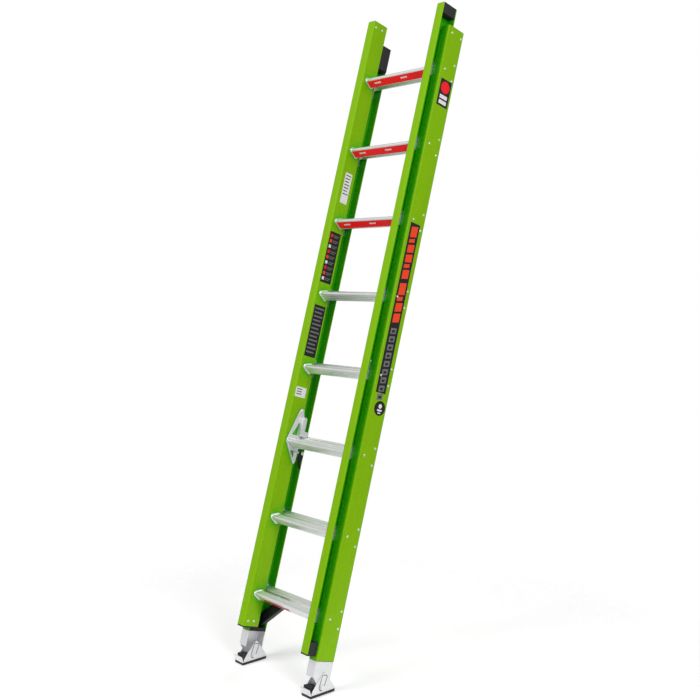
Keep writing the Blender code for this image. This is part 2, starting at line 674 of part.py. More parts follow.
def add_pin(shop, name, profile, side, d, u, parent, material):
    """A turned pin lying across the ladder; heights are distances from X = 0."""
    if side < 0:
        profile = [(r, -z) for r, z in reversed(profile)]
    return shop.turned(name, profile, (0.0, d, u), ALONG_X, parent, material)


# ======== Rung locks =====================================================

def bracket_outline():
    """The bracket's outer edge as (D, U), measured from the rung."""
    collar = rung_section(FLY_NOSE_D, COLLAR_GROWTH + HOLE_GAP)
    front = min(d for d, _ in collar) - LOCK_NOSE_WEB
    return around([
        (LOCK_BOLT_D, LOCK_BOLT_RISE, LOCK_BOSS),
        (front + 0.008, -RUNG_NOSE_DROP, 0.008),
        (LOCK_BACK_D - 0.009, -LOCK_DROP + 0.006, 0.006),
        (LOCK_BACK_D - 0.004, -LOCK_DROP + 0.030, 0.004),
        (HOOK_PIVOT_D, HOOK_PIVOT_RISE, LOCK_BACK_D - HOOK_PIVOT_D),
    ])


def bracket_windows():
    """Two three-cornered openings, above and below the rung."""
    section = rung_section(FLY_NOSE_D, COLLAR_GROWTH + HOLE_GAP)
    over = max(u for _, u in section) + 0.010
    under = min(u for _, u in section) - 0.009
    back = LOCK_BACK_D - 0.020
    upper = rounded([(back - 0.026, over, 0.002), (back, over, 0.002),
                     (back, HOOK_PIVOT_RISE - 0.008, 0.002)], 2)
    lower = rounded([(back - 0.019, under, 0.0015),
                     (FLIPPER_PIVOT_D - FLIPPER_BOSS - 0.004, under, 0.0015),
                     (FLIPPER_PIVOT_D - FLIPPER_BOSS, under - 0.030, 0.0015)], 2)
    return upper, lower


def hook_outline():
    """The hook as (D, U) from the rung.

    Its sole is an arc about the pivot, which just clears the base's tread
    wherever the hook swings to.
    """
    reach_d = HOOK_TOE_D - HOOK_PIVOT_D
    tread = BASE_RUNG_RISE + tread_height(BASE_NOSE_D, HOOK_PIVOT_D)
    above = HOOK_PIVOT_RISE - tread
    radius = above * math.cos(LEAN) - GAP
    back = math.degrees(math.asin(reach_d / radius))
    front = math.degrees(math.asin((reach_d - HOOK_TOE_LENGTH) / radius))
    sole = arc((HOOK_PIVOT_D, HOOK_PIVOT_RISE), radius, 270.0 + front,
               270.0 + back, 6)
    boss = arc((HOOK_PIVOT_D, HOOK_PIVOT_RISE), LOCK_BOSS, 0.0, 180.0, 10)
    leg_front = HOOK_PIVOT_D - LOCK_BOSS + 0.002
    leg_back = HOOK_PIVOT_D + LOCK_BOSS
    toe_top = sole[-1][1] + HOOK_TOE_HEIGHT
    leg = [(leg_front, sole[0][1] + HOOK_LEG_LIFT), (sole[0][0] - 0.002, sole[0][1] + 0.001)]
    toe = [(HOOK_TOE_D, toe_top - 0.004), (HOOK_TOE_D - 0.004, toe_top)]
    return boss + leg + sole + toe + [(leg_back, toe_top + 0.001)]


def flipper_outline():
    """The flipper as (D, U) from its pin: a boss and a claw that curls back.

    The claw's tip ends just ahead of the base's rungs, so that it passes them.
    """
    tip = BASE_NOSE_D - FLIPPER_CLEARANCE - FLIPPER_PIVOT_D
    turn = 2.0 * math.atan((tip + FLIPPER_BOSS) / FLIPPER_TAIL)
    curve = FLIPPER_TAIL / math.sin(turn)
    boss = arc((0.0, 0.0), FLIPPER_BOSS, 0.0, 180.0, 8)
    front = arc((curve - FLIPPER_BOSS, -FLIPPER_NECK), curve, 180.0,
                180.0 + math.degrees(turn), 7)
    half = (FLIPPER_TAIL - FLIPPER_BOSS) / 2.0
    hollow = half / math.sin(math.radians(FLIPPER_HOLLOW))
    middle = (FLIPPER_BOSS + hollow * math.cos(math.radians(FLIPPER_HOLLOW)),
              -FLIPPER_NECK - FLIPPER_BOSS / 2.0 - half)
    back = arc(middle, hollow, 180.0 + FLIPPER_HOLLOW, 180.0 - FLIPPER_HOLLOW, 6)
    return boss + front + back


def build_locks(shop, frame, cast, steel, black):
    """A rung lock at each fly rail: bracket, hook, flipper, pins and spring."""
    plate_outer = FLY_INNER_HALF - GAP
    plate_inner = plate_outer - LOCK_PLATE
    hook_outer = plate_inner - GAP
    hook_inner = hook_outer - HOOK_WIDTH
    flipper_outer = hook_inner - 2.0 * GAP - SPRING_TURNS * 4.0 * SPRING_WIRE
    flipper_inner = flipper_outer - FLIPPER_WIDTH
    hook_u = LOCK_U + HOOK_PIVOT_RISE
    flipper_u = LOCK_U - FLIPPER_DROP
    collar_hole = rung_section(FLY_NOSE_D, COLLAR_GROWTH + HOLE_GAP)
    for label, side in SIDES:
        middle = side * (plate_inner + plate_outer) / 2.0
        bracket = shop.slab("lock_bracket_" + label,
                            [bracket_outline(), collar_hole, *bracket_windows()],
                            LOCK_PLATE, (middle, 0.0, LOCK_U), ALONG_X, frame, cast)
        for place, radius, d, u in (
                ("bolt", BOLT_RADIUS, LOCK_BOLT_D, LOCK_U + LOCK_BOLT_RISE),
                ("hook", PIN_RADIUS, HOOK_PIVOT_D, hook_u),
                ("flipper", PIN_RADIUS, FLIPPER_PIVOT_D, flipper_u)):
            hole = shop.turned(f"bracket_{place}_hole_{label}",
                               cylinder_profile(radius + GAP, 2.0 * LOCK_PLATE),
                               (middle, d, u), ALONG_X, frame)
            shop.combine(bracket, hole, "DIFFERENCE")

        shift = (-HOOK_PIVOT_D, -HOOK_PIVOT_RISE)
        outline = [(d + shift[0], u + shift[1]) for d, u in hook_outline()]
        bore = arc((0.0, 0.0), PIN_RADIUS + GAP, 0.0, 337.5, 15)
        shop.slab("lock_hook_" + label, [outline, bore], HOOK_WIDTH,
                  (side * (hook_inner + hook_outer) / 2.0, HOOK_PIVOT_D, hook_u),
                  ALONG_X, frame, cast)
        shop.slab("lock_flipper_" + label, [flipper_outline(), bore], FLIPPER_WIDTH,
                  (side * (flipper_inner + flipper_outer) / 2.0, FLIPPER_PIVOT_D,
                   flipper_u), ALONG_X, frame, black)

        bolt_head = plate_inner - GAP
        nut = FLY_OUTER_HALF + GAP
        profile = [(0.0, nut + BOLT_HEAD), (BOLT_HEAD_RADIUS * 0.8, nut + BOLT_HEAD),
                   (BOLT_HEAD_RADIUS * 0.8, nut), (BOLT_RADIUS, nut),
                   (BOLT_RADIUS, bolt_head), (BOLT_HEAD_RADIUS, bolt_head),
                   (BOLT_HEAD_RADIUS, bolt_head - BOLT_HEAD + 0.001),
                   (BOLT_HEAD_RADIUS - 0.002, bolt_head - BOLT_HEAD),
                   (0.0, bolt_head - BOLT_HEAD)]
        add_pin(shop, "lock_bolt_" + label, profile, side, LOCK_BOLT_D,
                LOCK_U + LOCK_BOLT_RISE, frame, steel)
        for name, inner, d, u in (("hook_pin_", hook_inner, HOOK_PIVOT_D, hook_u),
                                  ("flipper_pin_", flipper_inner, FLIPPER_PIVOT_D,
                                   flipper_u)):
            head = inner - GAP
            profile = [(0.0, plate_outer), (PIN_RADIUS, plate_outer),
                       (PIN_RADIUS, head), (PIN_HEAD_RADIUS, head),
                       (PIN_HEAD_RADIUS, head - PIN_HEAD), (0.0, head - PIN_HEAD)]
            add_pin(shop, name + label, profile, side, d, u, frame, steel)
        build_spring(shop, frame, steel, label, side, flipper_outer + GAP, flipper_u)


def build_spring(shop, frame, steel, label, side, start, height):
    """A short coil around the flipper's pin."""
    per_turn = 12
    pitch = 4.0 * SPRING_WIRE
    count = SPRING_TURNS * per_turn
    curve = bpy.data.curves.new("lock_spring_" + label, "CURVE")
    curve.dimensions = "3D"
    curve.bevel_depth = SPRING_WIRE
    curve.bevel_resolution = 1
    curve.use_fill_caps = True
    spline = curve.splines.new("POLY")
    spline.points.add(count)
    for i, point in enumerate(spline.points):
        angle = 2.0 * math.pi * i / per_turn
        x = side * (start + SPRING_WIRE + pitch * i / per_turn * 0.9)
        point.co = (x, SPRING_RADIUS * math.cos(angle),
                    SPRING_RADIUS * math.sin(angle), 1.0)
    curve.materials.append(steel)
    spring = bpy.data.objects.new("lock_spring_" + label, curve)
    spring.location = (0.0, FLIPPER_PIVOT_D, height)
    spring.parent = frame
    shop.parts.objects.link(spring)


# ======== Assembly =======================================================

def frame_location():
    """Puts the shoes on the floor and the whole box's middle over the origin."""
    sine = math.sin(LEAN)
    cosine = math.cos(LEAN)
    pivot_y = PIVOT_D * cosine
    front = min(pivot_y - SHOE_FRONT - SHOE_TOE,
                (FLY_BOTTOM_U - FLY_END_PLATE) * sine)
    back = max(BASE_BACK_D * cosine + BASE_TOP_U * sine,
               FLY_DEPTH * cosine + FLY_TOP_U * sine)
    return (0.0, -(front + back) / 2.0, PIVOT_HEIGHT + PIVOT_D * sine)


def main():
    """Build the whole ladder."""
    clear_scene()
    parts = new_collection("extension_ladder")
    cutters = new_collection("cutters")
    shop = Workshop(parts, cutters)
    green = new_material("fibreglass_green", GREEN, 0.35, 0.0)
    aluminium = new_material("aluminium_extruded", ALUMINIUM, 0.35, 1.0)
    cast = new_material("aluminium_cast", CAST_ALUMINIUM, 0.45, 1.0)
    steel = new_material("zinc_steel", STEEL, 0.35, 1.0)
    plastic = new_material("black_plastic", BLACK_PLASTIC, 0.5, 0.0)
    black = new_material("black_steel", BLACK_STEEL, 0.45, 0.0)
    rubber = new_material("rubber", RUBBER, 0.85, 0.0)
    frame = new_empty("ladder_frame", frame_location(), (-LEAN, 0.0, 0.0), None, parts)
    build_rails(shop, frame, green)
    build_rungs(shop, frame, aluminium)
    build_guides(shop, frame, plastic)
    build_braces(shop, frame, black)
    build_boots(shop, frame, cast)
    build_shoes(shop, frame, parts, cast, rubber, steel)
    build_locks(shop, frame, cast, steel, black)


main()
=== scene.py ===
"""Dresses the packed extension ladder with its fine surfaces, fixings and finishes.

Pieces are made in the ladder's own frame: X across it, D from its front to its back and
U up its rails from the shoes' pivots. Rails, rungs and feet are placed from the packed
model's boxes and joints, and the films and the slide's stop by distances along the rails.
"""
import json
import math
from collections import namedtuple

import bmesh
import bpy
from bpy.props import FloatProperty, FloatVectorProperty, IntProperty, PointerProperty
from mathutils import Matrix, Vector


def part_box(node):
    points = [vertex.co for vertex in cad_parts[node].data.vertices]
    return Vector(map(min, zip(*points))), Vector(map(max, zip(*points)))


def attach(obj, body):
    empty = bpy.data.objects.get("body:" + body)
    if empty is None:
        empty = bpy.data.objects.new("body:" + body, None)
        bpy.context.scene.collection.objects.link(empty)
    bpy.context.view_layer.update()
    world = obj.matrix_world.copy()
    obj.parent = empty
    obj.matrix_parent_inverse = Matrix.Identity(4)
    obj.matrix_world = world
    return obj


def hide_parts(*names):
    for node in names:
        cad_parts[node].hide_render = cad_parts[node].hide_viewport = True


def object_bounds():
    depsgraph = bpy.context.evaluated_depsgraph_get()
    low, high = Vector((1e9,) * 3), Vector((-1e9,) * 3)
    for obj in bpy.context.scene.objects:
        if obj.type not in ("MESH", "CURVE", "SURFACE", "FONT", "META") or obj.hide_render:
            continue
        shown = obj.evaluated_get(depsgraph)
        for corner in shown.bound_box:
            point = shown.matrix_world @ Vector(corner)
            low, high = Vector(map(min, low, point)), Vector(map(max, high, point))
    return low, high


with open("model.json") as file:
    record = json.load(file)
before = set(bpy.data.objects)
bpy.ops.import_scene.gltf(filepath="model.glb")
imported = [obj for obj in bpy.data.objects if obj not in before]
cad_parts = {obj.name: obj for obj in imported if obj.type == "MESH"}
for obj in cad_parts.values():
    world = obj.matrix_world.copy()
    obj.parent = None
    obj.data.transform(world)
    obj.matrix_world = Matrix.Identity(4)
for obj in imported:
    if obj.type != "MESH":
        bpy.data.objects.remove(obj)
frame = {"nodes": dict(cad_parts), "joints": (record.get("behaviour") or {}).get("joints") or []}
CAD_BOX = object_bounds()

bl_info = {
    "name": "Extension Ladder Finish",
    "version": (1, 0, 0),
    "blender": (4, 5, 0),
    "location": "View3D > Sidebar > Ladder",
    "description": "Adds fine surfaces, fixings and finishes to an extension ladder",
    "category": "Object",
}

SIDES = (("left", -1), ("right", 1))
RUNGS = range(1, 1 + sum(name.startswith("fly_rung_") for name in frame["nodes"]))
SKIN = 0.0003                        # how far a film or a rivet is sunk or raised
FLY_NOSE, BASE_NOSE = 0.019, 0.0392  # rungs' noses behind their rails' front
LUG_RISE, LUG_DROP = 0.0315, 0.0325  # rear lugs above and below an end plate's front lug
FLY_LUG_D = (-0.003, 0.041)          # front and rear lugs behind the rung's nose
BASE_LUG_D = (-0.015, 0.033)
FILM_SUNK = 0.0008                   # how deep a rung's film reaches into the rung
FILM_GAP = 0.0015                    # how far it stops short of the collars and the tread
FILM_PAST = 0.003                    # how far it runs on below the rung's front face
LIGHT_REACH = 4.6                    # from the ladder's middle to each light
MIRROR_LIFT = 1.45                   # how much brighter the surround is in reflections
FLOOR_TOP, FLOOR_UNDER = -0.0004, -0.02


# ======== The ladder's own frame =========================================

def joint(name):
    """The packed record's joint of that name."""
    return next(j for j in frame["joints"] if j["name"] == name)


LEAN = math.atan2(joint("fly_slide")["axis"][1], joint("fly_slide")["axis"][2])
SINE, COSINE = math.sin(LEAN), math.cos(LEAN)
SHOE_PIVOT = Vector(joint("shoe_swing_right")["pos_m"])
Bar = namedtuple("Bar", "near far front back bottom top")


def from_shoe_pivot(y, z):
    """(D, U) of a point, measured from the shoes' pivot."""
    across, up = y - SHOE_PIVOT.y, z - SHOE_PIVOT.z
    return COSINE * across - SINE * up, SINE * across + COSINE * up


def leaning_box(node):
    """A leaning square-ended bar's (front, back, bottom, top) from its level box."""
    low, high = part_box(node)
    wide, tall = high.y - low.y, high.z - low.z
    spread = COSINE ** 2 - SINE ** 2
    length = (COSINE * tall - SINE * wide) / spread
    depth = (COSINE * wide - SINE * tall) / spread
    front, bottom = from_shoe_pivot(low.y, low.z + SINE * depth)
    return front, front + depth, bottom, bottom + length


PIVOT_D = -leaning_box("fly_rail_right")[0]      # D is 0 at the fly rails' front
LADDER = (Matrix.Translation((0.0, SHOE_PIVOT.y - COSINE * PIVOT_D,
                              SHOE_PIVOT.z + SINE * PIVOT_D))
          @ Matrix.Rotation(-LEAN, 4, "X"))


def bar(node):
    """A leaning bar's faces in the ladder's frame, near and far from the middle."""
    low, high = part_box(node)
    near, far = sorted((abs(low.x), abs(high.x)))
    front, back, bottom, top = leaning_box(node)
    return Bar(near, far, front + PIVOT_D, back + PIVOT_D, bottom, top)


FLY = bar("fly_rail_right")
BASE = bar("base_rail_right")


# ======== Sizes and colours that a user would change =====================

def length(name, description, default):
    """A size in metres."""
    return FloatProperty(name=name, description=description, default=default,
                         min=0.0, unit="LENGTH", subtype="DISTANCE", precision=5)


def colour(name, description, default):
    """A paint or metal colour."""
    return FloatVectorProperty(name=name, description=description, default=default,
                               min=0.0, max=1.0, size=3, subtype="COLOR")


def power(name, description, default):
    """A light's power in watts."""
    return FloatProperty(name=name, description=description, default=default,
                         min=0.0, unit="POWER")


class RailSettings(bpy.types.PropertyGroup):
    """Sizes of the glass-fibre rails."""

    fly_wall: length("Fly wall", "Thickness of the front section's rails", 0.0038)
    base_wall: length("Base wall", "Thickness of the rear section's rails", 0.0042)
    corner: length("Corner", "Radius of the rails' outer corners", 0.005)
    # the eased edge carries the dark sawn finish as painted shade
    edge: length("Painted shade edge", "Width of the eased edge at the rails' ends", 0.0014)


class RungSettings(bpy.types.PropertyGroup):
    """Sizes of the extruded rungs and of their swaged ends."""

    depth: length("Depth", "Rung from nose to back", 0.039)
    back_height: length("Back height", "Height of the rung's back face", 0.0372)
    round: length("Corner", "Radius of the rung's three corners", 0.007)
    wall: length("Wall", "Thickness of the tube", 0.0018)
    nose_drop: length("Nose drop", "Nose below the rung's reference height", 0.004)
    collar: length("Collar", "How far a swaged collar stands out", 0.004)
    collar_width: length("Collar width", "Width of a swaged collar", 0.0028)
    plate: length("End plate", "Thickness of an end plate", 0.002)
    lug: length("Lug", "Radius of an end plate's lugs", 0.008)
    groove_depth: length("Groove depth", "Depth of the tread's grooves", 0.0009)
    grooves: IntProperty(name="Grooves", description="Grooves along the tread",
                         default=6, min=1, max=12)


class FixingSettings(bpy.types.PropertyGroup):
    """Sizes of rivets, treads and films."""

    rivet: length("Rivet", "Radius of a rivet's head", 0.0046)
    rivet_height: length("Rivet height", "Height of a rivet's head", 0.0014)
    tread_pitch: length("Tread pitch", "Spacing of the shoe treads' teeth", 0.0083)
    tread_depth: length("Tread depth", "Depth of the shoe treads' teeth", 0.0032)
    label: length("Label", "Thickness of a printed film", 0.0002)


class ColourSettings(bpy.types.PropertyGroup):
    """Colours of the finishes."""

    lime: colour("Lime", "Glass-fibre rails", (0.235, 0.49, 0.0))
    deep_lime: colour("Deep lime", "Fibre streaks in the rails", (0.13, 0.36, 0.0))
    # painted shade: the deep green mixed into the rails where nearby parts shut out light
    shade: colour("Shaded resin", "The rails' colour deep in their channels",
                  (0.004, 0.40, 0.002))
    # also used as painted shade on the rails' eased edges
    sawn: colour("Sawn end", "Cut ends of the rails", (0.045, 0.075, 0.012))
    aluminium: colour("Aluminium", "Extruded rungs", (0.88, 0.89, 0.89))
    cast: colour("Cast aluminium", "Boots, shoes and locks", (0.80, 0.80, 0.82))
    zinc: colour("Zinc", "Bolts, pins and rivets", (0.78, 0.78, 0.76))
    plastic: colour("Plastic", "Guides and caps", (0.006, 0.006, 0.007))
    paint: colour("Black paint", "Braces and flippers", (0.004, 0.004, 0.005))
    rubber: colour("Rubber", "Shoe treads", (0.012, 0.012, 0.012))
    red: colour("Red film", "Labels on the top rungs", (0.95, 0.005, 0.015))
    orange: colour("Orange film", "Bright marks on the side label", (0.90, 0.06, 0.01))
    film: colour("Black film", "Ground of the side labels", (0.008, 0.008, 0.009))
    white: colour("White film", "Plain labels", (0.80, 0.80, 0.80))
    grey: colour("Grey film", "Faint marks", (0.16, 0.16, 0.17))


class StageSettings(bpy.types.PropertyGroup):
    """Camera, light and floor."""

    place: FloatVectorProperty(name="Camera", description="Where the camera stands",
                               default=(2.9749, -2.6215, 1.5350), size=3,
                               subtype="TRANSLATION", unit="LENGTH")
    azimuth: FloatProperty(name="Azimuth", description="Camera's turn from the front",
                           default=math.radians(48.574), subtype="ANGLE")
    elevation: FloatProperty(name="Tilt", description="Camera's downward tilt",
                             default=math.radians(4.402), subtype="ANGLE")
    lens: FloatProperty(name="Lens", description="Focal length in millimetres",
                        default=51.89, min=10.0, max=300.0)
    key: power("Key light", "Power of the front light", 105.0)
    side: power("Side light", "Power of the right-hand light", 105.0)
    back: power("Back light", "Power of the light behind", 60.0)
    fill: FloatProperty(name="Surround", description="Light from all around",
                        default=0.40, min=0.0)
    floor: length("Floor", "Radius of the floor", 1.7)


SETTINGS = {
    "ladder_rails": RailSettings,
    "ladder_rungs": RungSettings,
    "ladder_fixings": FixingSettings,
    "ladder_colours": ColourSettings,
    "ladder_stage": StageSettings,
}


# ======== Outlines =======================================================

def arc(centre, radius, start, end, steps):
    """Points along an arc; the angles are in degrees."""
    points = []
    for i in range(steps + 1):
        angle = math.radians(start + (end - start) * i / steps)
        points.append((centre[0] + radius * math.cos(angle),
                       centre[1] + radius * math.sin(angle)))
    return points


def rounded(corners, steps=6):
    """An outline from (x, y, radius) corners, each rounded by an arc."""
    points = []
    for i, (x, y, radius) in enumerate(corners):
        here = Vector((x, y))
        before = (Vector(corners[i - 1][:2]) - here).normalized()
        after = (Vector(corners[(i + 1) % len(corners)][:2]) - here).normalized()
        if radius <= 0.0:
            points.append((x, y))
            continue
        half = before.angle(after) / 2.0
        centre = here + (before + after).normalized() * (radius / math.sin(half))
        first = here + before * (radius / math.tan(half)) - centre
        last = here + after * (radius / math.tan(half)) - centre
        start = math.atan2(first.y, first.x)
        turn = math.atan2(last.y, last.x) - start
        turn = (turn + math.pi) % (2.0 * math.pi) - math.pi
        for k in range(steps + 1):
            angle = start + turn * k / steps
            points.append((centre.x + radius * math.cos(angle),
                           centre.y + radius * math.sin(angle)))
    return points


def around(circles, steps=6):
    """The outline around a ring of (x, y, radius) circles, counterclockwise."""
    count = len(circles)
    headings = []
    for i in range(count):
        ax, ay, ar = circles[i]
        bx, by, br = circles[(i + 1) % count]
        gap = math.hypot(bx - ax, by - ay)
        heading = math.atan2(by - ay, bx - ax)
        headings.append(heading - math.pi / 2.0 + math.asin((ar - br) / gap))
    points = []
    for i, (x, y, radius) in enumerate(circles):
        turn = (headings[i] - headings[i - 1]) % (2.0 * math.pi)
        for k in range(steps + 1):
            angle = headings[i - 1] + turn * k / steps
            points.append((x + radius * math.cos(angle), y + radius * math.sin(angle)))
    return points


def grooved(start, end, count, width, depth):
    """Points of shallow grooves cut into the left of a straight edge."""
    a, b = Vector(start), Vector(end)
    along = (b - a).normalized()
    inward = Vector((-along.y, along.x))
    pitch = (b - a).length / count
    points = []
    for i in range(count):
        middle = a + along * pitch * (i + 0.5)
        for step, sink in ((-0.5, 0.0), (-0.28, 1.0), (0.28, 1.0), (0.5, 0.0)):
            points.append(tuple(middle + along * width * step + inward * depth * sink))
    return points


def channel(side, rail, wall, web_is_near, corner):
    """A rail's C-section as (X, D). side is -1 or 1."""
    web, tip = (rail.near, rail.far) if web_is_near else (rail.far, rail.near)
    inside = web + wall if web_is_near else web - wall
    lip, fillet = wall * 0.42, wall * 0.6
    ring = [(web, rail.front, corner), (tip, rail.front, lip),
            (tip, rail.front + wall, lip), (inside, rail.front + wall, fillet),
            (inside, rail.back - wall, fillet), (tip, rail.back - wall, lip),
            (tip, rail.back, lip), (web, rail.back, corner)]
    return rounded([(side * x, d, r) for x, d, r in ring])


# ======== Meshes =========================================================

PLACES = {
    "X": lambda a, b, t: Vector((t, a, b)),      # outline (D, U)
    "D": lambda a, b, t: Vector((a, t, b)),      # outline (X, U)
    "U": lambda a, b, t: Vector((a, b, t)),      # outline (X, D)
}


class Piece:
    """A mesh under construction, in the ladder's frame or the level one."""

    def __init__(self, *materials):
        self.mesh = bmesh.new()
        self.materials = materials

    def loop(self, outline, axis, height):
        """A ring of points at one height along an axis."""
        return [self.mesh.verts.new(PLACES[axis](a, b, height)) for a, b in outline]

    def skirt(self, low, high, material):
        """The wall between two rings of as many points."""
        for i, corner in enumerate(low):
            j = (i + 1) % len(low)
            face = self.mesh.faces.new((corner, low[j], high[j], high[i]))
            face.material_index = material

    def prism(self, outline, axis, start, end, material=0, caps=None):
        """A solid bar with one outline."""
        low = self.loop(outline, axis, start)
        high = self.loop(outline, axis, end)
        self.skirt(low, high, material)
        for ring in (low, high):
            face = self.mesh.faces.new(ring)
            face.material_index = material if caps is None else caps

    def tube(self, outer, inner, axis, start, end, material=0):
        """A hollow bar; both outlines have as many points."""
        rings = [self.loop(outline, axis, height)
                 for outline, height in ((outer, start), (outer, end),
                                         (inner, end), (inner, start))]
        for low, high in zip(rings, rings[1:] + rings[:1]):
            self.skirt(low, high, material)

    def turned(self, profile, middle, direction, steps=24, material=0):
        """A turned solid from (radius, height) pairs, from its tip to its base."""
        turn = Vector((0.0, 0.0, 1.0)).rotation_difference(Vector(direction))
        place = Matrix.Translation(middle) @ turn.to_matrix().to_4x4()
        rings = []
        for radius, height in profile:
            spots = 1 if radius == 0.0 else steps
            ring = []
            for k in range(spots):
                angle = 2.0 * math.pi * k / steps
                spot = Vector((radius * math.cos(angle), radius * math.sin(angle), height))
                ring.append(self.mesh.verts.new(place @ spot))
            rings.append(ring)
        for upper, lower in zip(rings, rings[1:]):
            for k in range(steps):
                j = (k + 1) % steps
                corners = [upper[k % len(upper)], lower[k % len(lower)],
                           lower[j % len(lower)], upper[j % len(upper)]]
                corners = list(dict.fromkeys(corners))
                self.mesh.faces.new(corners).material_index = material

    def object(self, name, bevel=0.0, segments=2, world=LADDER, angle=40.0):
        """Closes the mesh up as an object in its place."""
        bmesh.ops.recalc_face_normals(self.mesh, faces=self.mesh.faces)
        data = bpy.data.meshes.new(name)
        self.mesh.to_mesh(data)
        self.mesh.free()
        data.shade_smooth()
        data.set_sharp_from_angle(angle=math.radians(angle))
        for material in self.materials:
            data.materials.append(material)
        made = bpy.data.objects.new(name, data)
        made.matrix_world = world
        bpy.context.scene.collection.objects.link(made)
        if bevel > 0.0:
            ease_edges(made, bevel, segments)
        return made


def ease_edges(piece, width, segments=2, angle=40.0):
    """Rounds a piece's sharp edges and keeps its flat faces flat."""
    ease = piece.modifiers.new("eased_edges", "BEVEL")
    ease.width = width
    ease.segments = segments
    ease.limit_method = "ANGLE"
    ease.angle_limit = math.radians(angle)
    ease.harden_normals = True


def mounted(piece, body, slot, *nodes):
    """Rides a piece on its body and hides the CAD nodes it stands for; slot, its finish's name,
    is not used.
    """
    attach(piece, body)
    if nodes:
        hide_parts(*nodes)
    return piece


def kept(names, material, width=0.0006, segments=2):
    """Gives CAD nodes their finish and eased edges, with their shape as it is."""
    for name in names:
        node = frame["nodes"][name]
        node.data.materials.clear()
        node.data.materials.append(material)
        weld = node.modifiers.new("joined_faces", "WELD")
        weld.merge_threshold = 0.00001
        if width > 0.0:
            ease_edges(node, width, segments)


def both(*stems):
    """Left and right node names for each stem."""
    return [f"{stem}_{label}" for stem in stems for label, _ in SIDES]


# ======== Shader effects =================================================

def add_node(tree, kind, inputs=None, **settings):
    """A node with its settings, and its inputs as values or links."""
    made = tree.nodes.new(kind)
    for key, value in settings.items():
        setattr(made, key, value)
    for key, value in (inputs or {}).items():
        if isinstance(value, bpy.types.NodeSocket):
            tree.links.new(value, made.inputs[key])
        else:
            made.inputs[key].default_value = value
    return made


def own_place(tree):
    """Where a point is in its object's own axes."""
    return add_node(tree, "ShaderNodeTexCoord").outputs["Object"]


def lifted(tree, value, start, end):
    """A mask that rises from 0 at start to 1 at end."""
    return add_node(tree, "ShaderNodeMapRange",
                    {"Value": value, "From Min": start, "From Max": end}).outputs["Result"]


def speckle(tree, place, scale, detail, start, end, roughness=0.5):
    """Noise with its contrast raised."""
    noise = add_node(tree, "ShaderNodeTexNoise",
                     {"Vector": place, "Scale": scale, "Detail": detail,
                      "Roughness": roughness})
    return lifted(tree, noise.outputs["Fac"], start, end)


def product(tree, *masks):
    """Masks multiplied together, in order."""
    result = masks[0]
    for mask in masks[1:]:
        result = add_node(tree, "ShaderNodeMath", {0: result, 1: mask},
                          operation="MULTIPLY").outputs[0]
    return result


def effect(name, inputs, output, fill):
    """A shader node group, built once, with its inputs' defaults and one output."""
    tree = bpy.data.node_groups.get(name)
    if tree is None:
        tree = bpy.data.node_groups.new(name, "ShaderNodeTree")
        for label, default in inputs.items():
            kind = "NodeSocketVector" if isinstance(default, tuple) else "NodeSocketFloat"
            socket = tree.interface.new_socket(label, in_out="INPUT", socket_type=kind)
            socket.default_value = default
        tree.interface.new_socket(output, in_out="OUTPUT", socket_type="NodeSocketFloat")
        source = tree.nodes.new("NodeGroupInput").outputs
        target = tree.nodes.new("NodeGroupOutput").inputs
        tree.links.new(fill(tree, source), target[output])
    return tree


def fill_grain(tree, source):
    """Noise that can be drawn out along one direction."""
    drawn = add_node(tree, "ShaderNodeVectorMath",
                     {0: own_place(tree), 1: source["Stretch"]}, operation="MULTIPLY")
    return speckle(tree, drawn.outputs[0], source["Scale"], 5.0, 0.3, 0.7, 0.6)


def fill_wear(tree, source):
    """Where edges stand out and have been rubbed, broken up by noise."""
    point = add_node(tree, "ShaderNodeNewGeometry").outputs["Pointiness"]
    edge = lifted(tree, point, 0.52, 0.62)
    broken = speckle(tree, own_place(tree), source["Scale"], 4.0, 0.42, 0.6)
    return product(tree, edge, broken, source["Amount"])


def fill_dust(tree, source):
    """Fine dust that gathers on faces that look up, and thins out unevenly."""
    normal = add_node(tree, "ShaderNodeNewGeometry").outputs["Normal"]
    up = add_node(tree, "ShaderNodeSeparateXYZ", {0: normal}).outputs["Z"]
    cloud = speckle(tree, own_place(tree), 60.0, 6.0, 0.35, 0.7)
    return product(tree, lifted(tree, up, 0.1, 0.9), cloud, source["Amount"])


def fill_painted_shade(tree, source):
    """Painted shade: how shut in a point is by what stands close around it."""
    open_share = add_node(tree, "ShaderNodeAmbientOcclusion",
                          {"Distance": source["Reach"]}, samples=8).outputs["AO"]
    return add_node(tree, "ShaderNodeMapRange",
                    {"Value": open_share, "From Min": 0.95, "From Max": 0.55,
                     "To Max": source["Amount"]}).outputs["Result"]


def placed(tree, group, values, output):
    """A node group placed in a material with its own values."""
    made = tree.nodes.new("ShaderNodeGroup")
    made.node_tree = group
    for key, value in values.items():
        made.inputs[key].default_value = value
    return made.outputs[output]


def grain_mask(tree, scale, stretch=(1.0, 1.0, 1.0)):
    """Grain in a material, drawn out where stretch is small."""
    group = effect("Drawn Grain", {"Scale": 100.0, "Stretch": (1.0, 1.0, 1.0)},
                   "Grain", fill_grain)
    return placed(tree, group, {"Scale": scale, "Stretch": stretch}, "Grain")


def wear_mask(tree, amount, scale=90.0):
    """Rubbed edges in a material."""
    group = effect("Rubbed Edges", {"Amount": 0.5, "Scale": 90.0}, "Wear", fill_wear)
    return placed(tree, group, {"Amount": amount, "Scale": scale}, "Wear")


def dust_mask(tree, amount):
    """Settled dust in a material."""
    group = effect("Settled Dust", {"Amount": 0.3}, "Dust", fill_dust)
    return placed(tree, group, {"Amount": amount}, "Dust")


def painted_shade_mask(tree, amount, reach):
    """Painted shade in the deep inside of a hollow piece, where nearby parts shut out light."""
    group = effect("Painted Recess Shade", {"Amount": 1.0, "Reach": 0.05}, "PaintedShade", fill_painted_shade)
    return placed(tree, group, {"Amount": amount, "Reach": reach}, "PaintedShade")


